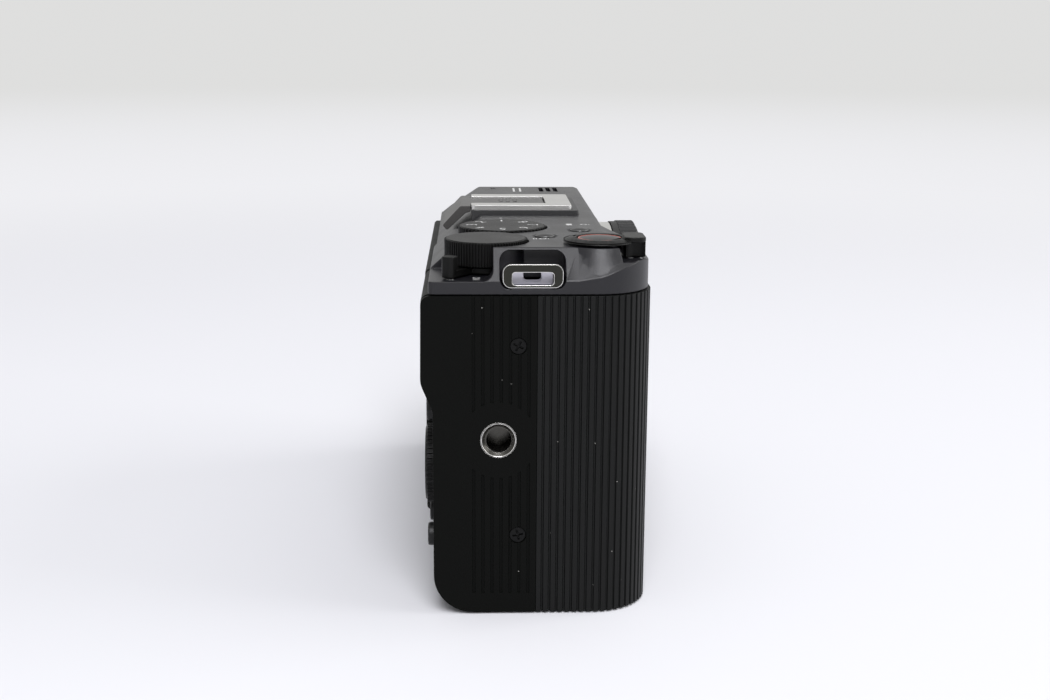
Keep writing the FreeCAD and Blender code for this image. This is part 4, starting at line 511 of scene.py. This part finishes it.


# A copy of a solid with merged corners and a small rounding along each crease; a second material, when given,
# lies on the rounding alone as a painted highlight
def softEdges(node, width, edgeHighlight=None):
    solid = frame["nodes"][node]
    mesh = solid.data.copy()
    if edgeHighlight is not None:
        mesh.materials.append(edgeHighlight)
    mesh.name = node + "Soft"
    work = bmesh.new()
    work.from_mesh(mesh)
    bmesh.ops.remove_doubles(work, verts=work.verts, dist=mending["mergeGap"])
    flatAngle = math.radians(mending["flatAngle"])
    bmesh.ops.dissolve_limit(work, angle_limit=flatAngle, verts=work.verts, edges=work.edges)
    many = [face for face in work.faces if len(face.verts) > 4]
    bmesh.ops.triangulate(work, faces=many, quad_method="BEAUTY", ngon_method="EAR_CLIP")
    work.to_mesh(mesh)
    work.free()
    mesh.shade_smooth()
    piece = bpy.data.objects.new(node + "Soft", mesh)
    bpy.context.scene.collection.objects.link(piece)
    rounding = piece.modifiers.new("rounding", "BEVEL")
    rounding.width = width * mm
    rounding.segments = mending["segments"]
    rounding.limit_method = "ANGLE"
    rounding.angle_limit = math.radians(mending["crease"])
    rounding.use_clamp_overlap = False
    if edgeHighlight is not None:
        rounding.material = 1  # the rounded edges alone take the bright material, a painted highlight
    rounding.miter_outer = "MITER_SHARP"
    view = bpy.context.evaluated_depsgraph_get()
    final = bpy.data.meshes.new_from_object(piece.evaluated_get(view))
    piece.modifiers.clear()
    piece.data = final
    surface = BVHTree.FromPolygons([v.co for v in solid.data.vertices],
                                   [tuple(p.vertices) for p in solid.data.polygons])
    settled(final, surface, width)
    steadied(final, surface, width)
    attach(piece, body_of(solid)[0])
    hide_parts(node)
    return piece


# Bright materials for the rounded edges only: a painted highlight along the rims of the lugs and sockets and
# round the record and still-movie buttons
highlightEdgeSteel = finish("paintedHighlightEdge", (0.80, 0.79, 0.76), 0.22, 0.5, metal=1.0, grain=1600, relief=0.03)
highlightEdgeDim = finish("paintedHighlightButtonEdge", (0.11, 0.11, 0.11), 0.30, 0.5, metal=1.0, grain=1600, relief=0.03)
paintedEdgeHighlights = {
    "strap_lugs": highlightEdgeSteel, "side_tripod_socket": highlightEdgeSteel, "bottom_tripod_socket": highlightEdgeSteel,
    "record_button": highlightEdgeDim, "still_movie_button": highlightEdgeDim,
}
soft = {}
for node, width in softened.items():
    soft[node] = softEdges(node, width, paintedEdgeHighlights.get(node))
print("edges softened:", len(softened))

# Shared ways to make pieces

rightRear, upRear = (-1, 0, 0), (0, 0, 1)
rightDeck, upDeck = (-1, 0, 0), (0, -1, 0)
rightPort, upPort = (0, 1, 0), (0, 0, 1)
rightBase, upBase = (1, 0, 0), (0, -1, 0)
rightFront, upFront = (1, 0, 0), (0, 0, 1)
sharpAngle = math.radians(38)


def meshFrom(name, vertices, faces):
    mesh = bpy.data.meshes.new(name)
    mesh.from_pydata([Vector(v) * mm for v in vertices], [], faces)
    mesh.validate()
    work = bmesh.new()
    work.from_mesh(mesh)
    bmesh.ops.recalc_face_normals(work, faces=work.faces)
    work.to_mesh(mesh)
    work.free()
    mesh.shade_smooth()
    mesh.set_sharp_from_angle(angle=sharpAngle)
    return mesh


# A finished mesh in the frame's own coordinates, carried by the body of a CAD node
def addPiece(name, mesh, material, node, replaced=()):
    piece = bpy.data.objects.new(name, mesh)
    bpy.context.scene.collection.objects.link(piece)
    mesh.materials.clear()
    mesh.materials.append(material)
    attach(piece, body_of(frame["nodes"][node])[0])
    if replaced:
        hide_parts(*replaced)
    return piece


# Rings of a profile turned about an axis: (radius, along) pairs, closed to a solid ring
def turned(profile, centre, axis, segments=96):
    along = Vector(axis).normalized()
    side = along.orthogonal().normalized()
    other = along.cross(side)
    vertices, faces = [], []
    count = len(profile)
    for i in range(segments):
        angle = 2 * math.pi * i / segments
        out = side * math.cos(angle) + other * math.sin(angle)
        for radius, height in profile:
            vertices.append(Vector(centre) + out * radius + along * height)
    for i in range(segments):
        j = (i + 1) % segments
        for k in range(count):
            m = (k + 1) % count
            faces.append((i * count + k, j * count + k, j * count + m, i * count + m))
    return vertices, faces


# Geometry nodes: one item repeated on marked points, or evenly round a circle
def repeatTree(name, ring):
    tree = bpy.data.node_groups.new(name, "GeometryNodeTree")
    face = tree.interface
    if ring:
        for label, kind in (("Count", "NodeSocketInt"), ("Radius", "NodeSocketFloat")):
            face.new_socket(label, in_out="INPUT", socket_type=kind)
    else:
        face.new_socket("Places", in_out="INPUT", socket_type="NodeSocketGeometry")
    face.new_socket("Item", in_out="INPUT", socket_type="NodeSocketObject")
    face.new_socket("Material", in_out="INPUT", socket_type="NodeSocketMaterial")
    face.new_socket("Geometry", in_out="OUTPUT", socket_type="NodeSocketGeometry")
    nodes, links = tree.nodes, tree.links
    given = nodes.new("NodeGroupInput")
    item = nodes.new("GeometryNodeObjectInfo")
    item.transform_space = "ORIGINAL"
    links.new(given.outputs["Item"], item.inputs["Object"])
    place = nodes.new("GeometryNodeInstanceOnPoints")
    if ring:
        circle = nodes.new("GeometryNodeMeshCircle")
        links.new(given.outputs["Count"], circle.inputs["Vertices"])
        links.new(given.outputs["Radius"], circle.inputs["Radius"])
        links.new(circle.outputs["Mesh"], place.inputs["Points"])
        order = nodes.new("GeometryNodeInputIndex")
        share = nodes.new("ShaderNodeMath")
        share.operation = "DIVIDE"
        links.new(order.outputs["Index"], share.inputs[0])
        links.new(given.outputs["Count"], share.inputs[1])
        angle = nodes.new("ShaderNodeMath")
        angle.operation = "MULTIPLY"
        angle.inputs[1].default_value = 2 * math.pi
        links.new(share.outputs[0], angle.inputs[0])
        turn = nodes.new("ShaderNodeCombineXYZ")
        links.new(angle.outputs[0], turn.inputs["Z"])
        links.new(turn.outputs["Vector"], place.inputs["Rotation"])
    else:
        links.new(given.outputs["Places"], place.inputs["Points"])
        stored = nodes.new("GeometryNodeInputNamedAttribute")
        stored.data_type = "FLOAT_VECTOR"
        stored.inputs["Name"].default_value = "turn"
        links.new(stored.outputs["Attribute"], place.inputs["Rotation"])
    links.new(item.outputs["Geometry"], place.inputs["Instance"])
    real = nodes.new("GeometryNodeRealizeInstances")
    links.new(place.outputs["Instances"], real.inputs["Geometry"])
    paint = nodes.new("GeometryNodeSetMaterial")
    links.new(real.outputs["Geometry"], paint.inputs["Geometry"])
    links.new(given.outputs["Material"], paint.inputs["Material"])
    out = nodes.new("NodeGroupOutput")
    links.new(paint.outputs["Geometry"], out.inputs["Geometry"])
    return tree


pointTree = repeatTree("repeatOnPoints", False)
ringTree = repeatTree("repeatRound", True)


# One mesh of all the repeats, with the item and the modifier gone again
def repeated(name, tree, base, item, material, values):
    holder = bpy.data.objects.new(name + "Places", base)
    sample = bpy.data.objects.new(name + "Item", item)
    for one in (holder, sample):
        bpy.context.scene.collection.objects.link(one)
    step = holder.modifiers.new("repeat", "NODES")
    step.node_group = tree
    names = {s.name: s.identifier for s in tree.interface.items_tree if s.in_out == "INPUT"}
    step[names["Item"]] = sample
    step[names["Material"]] = material
    for label, value in values.items():
        step[names[label]] = value
    view = bpy.context.evaluated_depsgraph_get()
    view.update()
    mesh = bpy.data.meshes.new_from_object(holder.evaluated_get(view))
    mesh.name = name
    holder.modifiers.clear()
    for one in (holder, sample):
        bpy.data.objects.remove(one)
    mesh.shade_smooth()
    mesh.set_sharp_from_angle(angle=sharpAngle)
    return mesh


def repeatedAt(name, item, places, turns, material):
    base = bpy.data.meshes.new(name + "Places")
    base.from_pydata([Vector(p) * mm for p in places], [], [])
    store = base.attributes.new("turn", "FLOAT_VECTOR", "POINT")
    for i, turn in enumerate(turns):
        store.data[i].vector = turn
    return repeated(name, pointTree, base, item, material, {})


# A ring of items about +Z, then set about its centre and turned to its axis
def repeatedRound(name, item, count, radius, centre, material, facing=(0, 0, 1)):
    base = bpy.data.meshes.new(name + "Places")
    mesh = repeated(name, ringTree, base, item, material, {"Count": count, "Radius": radius * mm})
    turn = Vector(facing).to_track_quat("Z", "Y").to_matrix().to_4x4()
    mesh.transform(Matrix.Translation(Vector(centre) * mm) @ turn)
    return mesh


# The separate solids of a node, as lists of corner points in millimetres
def islands(node):
    mesh = frame["nodes"][node].data
    lead = list(range(len(mesh.vertices)))
    key = {}
    for i, v in enumerate(mesh.vertices):
        spot = tuple(round(c * 1e6) for c in v.co)
        lead[i] = key.setdefault(spot, i)

    def root(i):
        while lead[i] != i:
            lead[i] = lead[lead[i]]
            i = lead[i]
        return i

    for face in mesh.polygons:
        first = root(face.vertices[0])
        for i in face.vertices[1:]:
            lead[root(i)] = first
    groups = {}
    for i, v in enumerate(mesh.vertices):
        groups.setdefault(root(i), []).append(v.co / mm)
    return list(groups.values())


# Extra finishes for printed marks and accents; the pale lug plate among them is painted light

inkWhite = finish("printedWhite", (0.62, 0.62, 0.61), 0.5, 0.3, grain=6000, relief=0.04)
inkGrey = finish("printedGrey", (0.26, 0.26, 0.26), 0.5, 0.3, grain=6000, relief=0.04)
ringPink = finish("shutterRingPink", (0.55, 0.13, 0.10), 0.32, 0.5, metal=0.6, grain=3000, relief=0.04)
socketSteel = finish("socketSteel", (0.07, 0.068, 0.062), 0.26, 0.5, metal=1.0, grain=1600, relief=0.05)
# Pale colour for the plate behind each strap loop: painted light, where light from above falls on the dark
# plate
paintedLitPlate = finish("lugPlatePaintedLight", (0.42, 0.41, 0.47), 0.5, 0.4, grain=3000, relief=0.1)
coverSatin = finish("shoeCoverSatin", (0.055, 0.053, 0.051), 0.40, 0.45, grain=5200, relief=0.12)
lampGlass = finish("lampGlass", (0.11, 0.05, 0.035), 0.08, 0.6, grain=900, relief=0.0, coat=1.0)
dotRed = finish("indexRed", (0.42, 0.02, 0.015), 0.35, 0.4, grain=3000, relief=0.04)

# Screws with a cross recess

screwShape = {
    "rings": 20, "segments": 88, "dome": 0.10, "armWidth": 0.40, "armReach": 1.0, "armRadius": 1.5,
    "pit": 0.36, "depth": 0.6, "taper": 0.35, "edge": 0.07, "headHeight": 0.7, "shank": 0.8, "endSlice": 0.05,
    "turns": (0.2, 1.1, 0.65, 1.4, 0.45, 0.9),
}
screwNodes = {"case_screws": 1.5, "mount_screws": 1.3}


def eased(value):
    t = min(1.0, max(0.0, value / screwShape["edge"]))
    return t * t * (3 - 2 * t)


# Head top at the origin, facing +Z, with the shank below
def crossScrew(name, radius, length):
    s = screwShape
    half, reach = s["armWidth"] / 2, s["armReach"] * radius / s["armRadius"]
    vertices = [(0, 0, -s["depth"])]
    rows = []
    for i in range(1, s["rings"] + 1):
        r = radius * i / s["rings"]
        row = []
        for j in range(s["segments"]):
            angle = 2 * math.pi * j / s["segments"]
            u, v = r * math.cos(angle), r * math.sin(angle)
            level = eased(half - abs(v)) * eased(reach - abs(u))
            upright = eased(half - abs(u)) * eased(reach - abs(v))
            arm = max(level, upright, eased(s["pit"] - r))
            cut = s["depth"] * arm * (1 - s["taper"] * r / radius)
            row.append(len(vertices))
            vertices.append((u, v, -s["dome"] * (r / radius) ** 2 - cut))
        rows.append(row)
    for r, z in ((radius, -s["headHeight"]), (s["shank"], -s["headHeight"]), (s["shank"], -length)):
        row = []
        for j in range(s["segments"]):
            angle = 2 * math.pi * j / s["segments"]
            row.append(len(vertices))
            vertices.append((r * math.cos(angle), r * math.sin(angle), z))
        rows.append(row)
    count = s["segments"]
    faces = [(0, rows[0][j], rows[0][(j + 1) % count]) for j in range(count)]
    for inner, outer in zip(rows, rows[1:]):
        for j in range(count):
            k = (j + 1) % count
            faces.append((inner[j], outer[j], outer[k], inner[k]))
    faces.append(tuple(rows[-1]))
    return meshFrom(name, vertices, faces)


# Where each screw's head lies, which way it faces and how long it is
def screwPlaces(node):
    spots = []
    for points in islands(node):
        low = [min(p[k] for p in points) for k in range(3)]
        high = [max(p[k] for p in points) for k in range(3)]
        size = [b - a for a, b in zip(low, high)]
        k = min(range(3), key=lambda n: abs(size[(n + 1) % 3] - size[(n + 2) % 3]))  # round about this axis
        side = (k + 1) % 3
        middle = [(a + b) / 2 for a, b in zip(low, high)]
        wide = {}
        for sign, end in ((-1, low[k]), (1, high[k])):
            ends = [p for p in points if abs(p[k] - end) < screwShape["endSlice"]]
            wide[sign] = max(abs(p[side] - middle[side]) for p in ends)
        sign = -1 if wide[-1] > wide[1] else 1
        middle[k] = low[k] if sign < 0 else high[k]
        facing = [0, 0, 0]
        facing[k] = sign
        spots.append((middle, facing, size[k]))
    return spots


for node, radius in screwNodes.items():
    spots = screwPlaces(node)
    item = crossScrew(node + "Cross", radius, min(spot[2] for spot in spots))
    turns = []
    for i, spot in enumerate(spots):
        turn = Vector(spot[1]).to_track_quat("Z", "Y").to_matrix()
        spin = Matrix.Rotation(screwShape["turns"][i % len(screwShape["turns"])], 3, "Z")
        turns.append((turn @ spin).to_euler())
    mesh = repeatedAt(node + "Heads", item, [spot[0] for spot in spots], turns, finishes["screw_steel"])
    addPiece(node + "Heads", mesh, finishes["screw_steel"], node, replaced=(node,))
print("screws set")

# Threads of both tripod sockets

threadShape = {
    "pitch": 1.27, "depth": 0.26, "rows": 12, "segments": 72, "wall": 0.05, "bore": 2.6, "sharpness": 1.5,
    "backing": 0.01,
}
threads = {
    "side_tripod_socket": ((-58.8, 8.95, 35.3), (1, 0, 0), 4.6),
    "bottom_tripod_socket": ((6.0, 0.25, 0.8), (0, 0, 1), 4.2),
}


def threadedBore(name, mouth, inward, length):
    t = threadShape
    along = Vector(inward)
    side = along.orthogonal().normalized()
    other = along.cross(side)

    def ringPoint(depth, angle, radius):
        return Vector(mouth) + along * depth + (side * math.cos(angle) + other * math.sin(angle)) * radius

    steps = int(length / t["pitch"] * t["rows"])
    count = t["segments"]
    vertices, faces = [], []
    for k in range(steps + 1):
        depth = length * k / steps
        for i in range(count):
            angle = 2 * math.pi * i / count
            phase = depth / t["pitch"] + i / count
            groove = 0.5 - 0.5 * math.cos(2 * math.pi * phase)
            radius = t["bore"] - t["wall"] - t["depth"] * (1 - groove) ** t["sharpness"]
            vertices.append(ringPoint(depth, angle, radius))
    for depth in (length, 0.0):
        for i in range(count):
            vertices.append(ringPoint(depth, 2 * math.pi * i / count, t["bore"] - t["backing"]))
    rows = steps + 3
    for k in range(rows):
        for i in range(count):
            j = (i + 1) % count
            m = (k + 1) % rows
            faces.append((k * count + i, k * count + j, m * count + j, m * count + i))
    return meshFrom(name, vertices, faces)


for node, (mouth, inward, length) in threads.items():
    addPiece(node + "Thread", threadedBore(node + "Thread", mouth, inward, length), socketSteel, node)
    soft[node].data.materials[0] = socketSteel

# Strap lugs: dark loops with a painted highlight on their edges, and behind each a notched plate whose pale
# colour is painted light from above

litPlateReach = 57.4
lugs = soft["strap_lugs"].data
lugs.materials.append(paintedLitPlate)
for face in lugs.polygons:
    if abs(face.center.x) < litPlateReach * mm:
        face.material_index = len(lugs.materials) - 1

# The cover in the shoe is a satin plastic of its own

soft["hot_shoe_cover"].data.materials[0] = coverSatin

# Turned rings on the shutter button and the face of the cap

ringSides = 144
turnedRings = {
    "shutterRing": ("shutter_button", (-49.0, -10.7, 72.8), (0, 0, 1), ringPink,
                    ((3.90, -0.2), (3.90, 0.05), (3.97, 0.10), (4.12, 0.09), (4.19, 0.03), (4.19, -0.2))),
    "capFaceRing": ("body_cap", (6.0, -23.4, 38.1), (0, -1, 0), finishes["cap_plastic"],
                    ((19.2, -0.2), (19.2, 0.12), (19.35, 0.25), (19.75, 0.25), (19.9, 0.12), (19.9, -0.2))),
    "capInnerRing": ("body_cap", (6.0, -23.4, 38.1), (0, -1, 0), finishes["cap_plastic"],
                     ((6.8, -0.2), (6.8, 0.1), (6.95, 0.2), (7.15, 0.2), (7.3, 0.1), (7.3, -0.2))),
}
for name, (node, centre, axis, material, profile) in turnedRings.items():
    vertices, faces = turned(profile, centre, axis, ringSides)
    addPiece(name, meshFrom(name, vertices, faces), material, node)

# Small window over the focus lamp, in the recess of the front cover

lampWindow = {
    "centre": (38.75, -13.45, 57.5), "half": (2.65, 1.4), "bulge": 0.3, "back": 0.2, "sides": 64, "rings": 8,
    "fall": 4, "squareness": 0.4,
}


def makeLampWindow():
    w = lampWindow
    cx, cy, cz = w["centre"]
    count = w["sides"]
    vertices, faces = [(cx, cy - w["bulge"], cz)], []
    shares = [k / w["rings"] for k in range(1, w["rings"] + 1)]
    rings = [(share, cy - w["bulge"] * (1 - share ** w["fall"])) for share in shares]
    rings.append((1.0, cy + w["back"]))
    for share, y in rings:
        for i in range(count):
            angle = 2 * math.pi * i / count
            c, s = math.cos(angle), math.sin(angle)
            x = w["half"][0] * math.copysign(abs(c) ** w["squareness"], c)
            z = w["half"][1] * math.copysign(abs(s) ** w["squareness"], s)
            vertices.append((cx + x * share, y, cz + z * share))
    for i in range(count):
        faces.append((0, 1 + i, 1 + (i + 1) % count))
    for k in range(len(rings) - 1):
        for i in range(count):
            j = (i + 1) % count
            a = 1 + k * count
            faces.append((a + i, a + j, a + count + j, a + count + i))
    last = 1 + (len(rings) - 1) * count
    faces.append(tuple(range(last, last + count)))
    addPiece("lampWindow", meshFrom("lampWindow", vertices, faces), lampGlass, "front_cover")


makeLampWindow()

# Printed marks, laid on the surface under them

printing = {"above": 4, "reach": 9, "lift": 0.03}


def lettering(words, size):
    curve = bpy.data.curves.new("lettering", "FONT")
    curve.body = words
    curve.size = size
    curve.align_x = "CENTER"
    curve.align_y = "CENTER"
    holder = bpy.data.objects.new("lettering", curve)
    bpy.context.scene.collection.objects.link(holder)
    view = bpy.context.evaluated_depsgraph_get()
    view.update()
    mesh = bpy.data.meshes.new_from_object(holder.evaluated_get(view))
    points = [(v.co.x, v.co.y) for v in mesh.vertices]
    faces = [tuple(face.vertices) for face in mesh.polygons]
    bpy.data.objects.remove(holder)
    bpy.data.curves.remove(curve)
    bpy.data.meshes.remove(mesh)
    return points, faces


def bar(width, height, x=0.0, y=0.0):
    w, h = width / 2, height / 2
    return [(x - w, y - h), (x + w, y - h), (x + w, y + h), (x - w, y + h)], [(0, 1, 2, 3)]


def hoop(outer, inner, x=0.0, y=0.0, sides=32):
    points, faces = [], []
    for i in range(sides):
        angle = 2 * math.pi * i / sides
        for r in (outer, inner):
            points.append((x + r * math.cos(angle), y + r * math.sin(angle)))
    for i in range(sides):
        j = (i + 1) % sides
        faces.append((2 * i, 2 * j, 2 * j + 1, 2 * i + 1))
    return points, faces


def arrow(width, height, x=0.0, y=0.0):
    w, h = width / 2, height / 2
    return [(x - w, y - h), (x + w, y), (x - w, y + h)], [(0, 1, 2)]


def together(*shapes):
    points, faces = [], []
    for more, rest in shapes:
        faces += [tuple(i + len(points) for i in face) for face in rest]
        points += more
    return points, faces


# One mesh of marks, each vertex dropped on the solid below it
def printOn(name, node, marks, ink):
    mesh = frame["nodes"][node].data
    solid = BVHTree.FromPolygons([v.co for v in mesh.vertices], [tuple(p.vertices) for p in mesh.polygons])
    vertices, faces = [], []
    for (points, cells), place, right, up in marks:
        right, up = Vector(right), Vector(up)
        normal = right.cross(up)
        faces += [tuple(i + len(vertices) for i in cell) for cell in cells]
        for u, v in points:
            at = Vector(place) + right * u + up * v
            start = (at + normal * printing["above"]) * mm
            spot, facing, _, _ = solid.ray_cast(start, -normal, printing["reach"] * mm)
            if spot is not None:
                at = spot / mm + facing * printing["lift"]
            vertices.append(at)
    mesh = bpy.data.meshes.new(name)
    mesh.from_pydata([v * mm for v in vertices], [], faces)
    addPiece(name, mesh, ink, node)


modeDial = {"centre": (-26.0, 7.65, 72.2), "radius": 6.2, "size": 3.3, "marks": "12345678"}


def dialMarks():
    marks = []
    cx, cy, cz = modeDial["centre"]
    for i, word in enumerate(modeDial["marks"]):
        angle = 2 * math.pi * i / len(modeDial["marks"])
        up = (math.cos(angle), math.sin(angle), 0)
        right = (math.sin(angle), -math.cos(angle), 0)
        place = (cx + up[0] * modeDial["radius"], cy + up[1] * modeDial["radius"], cz)
        marks.append((lettering(word, modeDial["size"]), place, right, up))
    return marks


printOn("modeDialMarks", "mode_dial", dialMarks(), inkWhite)

film = together(bar(1.7, 1.2), bar(0.25, 1.2, 1.15), bar(0.25, 1.2, -1.15))
still = together(hoop(0.75, 0.45), bar(0.8, 0.25, 0, 1.1))
stillMovie = together(still, bar(1.2, 0.25, 0, -1.3), bar(1.2, 0.25, 0, -1.8))
deckMarks = [
    (arrow(1.0, 0.9), (-12.4, 7.65, 71.8), rightDeck, upDeck),
    (film, (-22.7, -6.5, 71.8), rightDeck, upDeck),
    (still, (-22.7, -9.6, 71.8), rightDeck, upDeck),
    (stillMovie, (-43.6, 0.0, 71.8), rightDeck, upDeck),
    (bar(8.0, 0.5), (43.0, 3.3, 71.8), rightDeck, upDeck),
    (bar(8.0, 0.5), (43.0, 1.7, 71.8), rightDeck, upDeck),
    (together(bar(0.9, 0.28), arrow(0.7, 0.8, 1.0)), (-50.5, -18.6, 69.0), rightDeck, upDeck),
    (together(hoop(0.4, 0.18), bar(0.28, 0.9, 0.8)), (-50.5, -16.6, 69.0), rightDeck, upDeck),
]
printOn("deckMarks", "top_cover", deckMarks, inkWhite)
printOn("switchMarks", "top_cover", [
    (lettering("ON", 2.0), (-55.9, 13.2, 66.0), rightDeck, upDeck),
    (lettering("OFF", 2.0), (-55.9, 18.2, 66.0), rightDeck, upDeck),
], inkWhite)

rearIcons = {
    "menu_button": together(bar(1.8, 0.25, 0, 0.6), bar(1.8, 0.25), bar(1.8, 0.25, 0, -0.6)),
    "function_button": together(hoop(0.85, 0.6), bar(0.3, 0.3)),
    "playback_button": arrow(1.5, 1.6),
    "delete_button": together(bar(1.6, 0.22, 0, 0.75), bar(0.5, 0.2, 0, 1.0), bar(0.22, 1.3, -0.55, -0.05),
                              bar(0.22, 1.3, 0.0, -0.05), bar(0.22, 1.3, 0.55, -0.05)),
}
for node, icon in rearIcons.items():
    low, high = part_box(node)
    middle = [(a + b) / 2 / mm for a, b in zip(low, high)]
    printOn(node + "Mark", node, [(icon, (middle[0], high[1] / mm, middle[2]), rightRear, upRear)], inkWhite)

wheelMarks = {"centre": (-43.0, 26.0), "radius": 5.8, "count": 4, "dot": 0.38, "sides": 24, "sink": 0.05}
dotProfile = ((0.0, 0.0), (wheelMarks["dot"], 0.0), (wheelMarks["dot"] * 0.7, 0.12), (0.0, 0.16))
dot = turned(dotProfile, (0, 0, 0), (0, 0, 1), wheelMarks["sides"])
_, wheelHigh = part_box("control_wheel")
wheelFace = wheelHigh[1] / mm - wheelMarks["sink"]
wheelCentre = (wheelMarks["centre"][0], wheelFace, wheelMarks["centre"][1])
dots = repeatedRound("wheelDots", meshFrom("wheelDot", *dot), wheelMarks["count"], wheelMarks["radius"],
                     wheelCentre, inkWhite, facing=(0, 1, 0))
addPiece("wheelDots", dots, inkWhite, "control_wheel")

sideMarks = {
    "microphone_door": together(hoop(0.7, 0.4, 0, 0.5), bar(0.3, 1.1, 0, -0.6), bar(1.2, 0.25, 0, -1.2)),
    "cable_door": together(bar(2.2, 0.3), arrow(0.7, 0.8, 1.3), hoop(0.45, 0.0, -1.2)),
}
for node, icon in sideMarks.items():
    low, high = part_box(node)
    middle = [(a + b) / 2 / mm for a, b in zip(low, high)]
    printOn(node + "Mark", node, [(icon, (high[0] / mm, middle[1], middle[2]), rightPort, upPort)], inkGrey)

printOn("latchMark", "battery_door", [
    (together(bar(1.6, 0.3), arrow(0.9, 1.0, -1.2)), (-43.5, -1.7, 0.0), rightBase, upBase),
], inkWhite)
printOn("mountIndex", "lens_mount_ring", [
    (hoop(0.9, 0.0), (6.0, -17.75, 66.3), rightFront, upFront),
], dotRed)
print("marks printed")
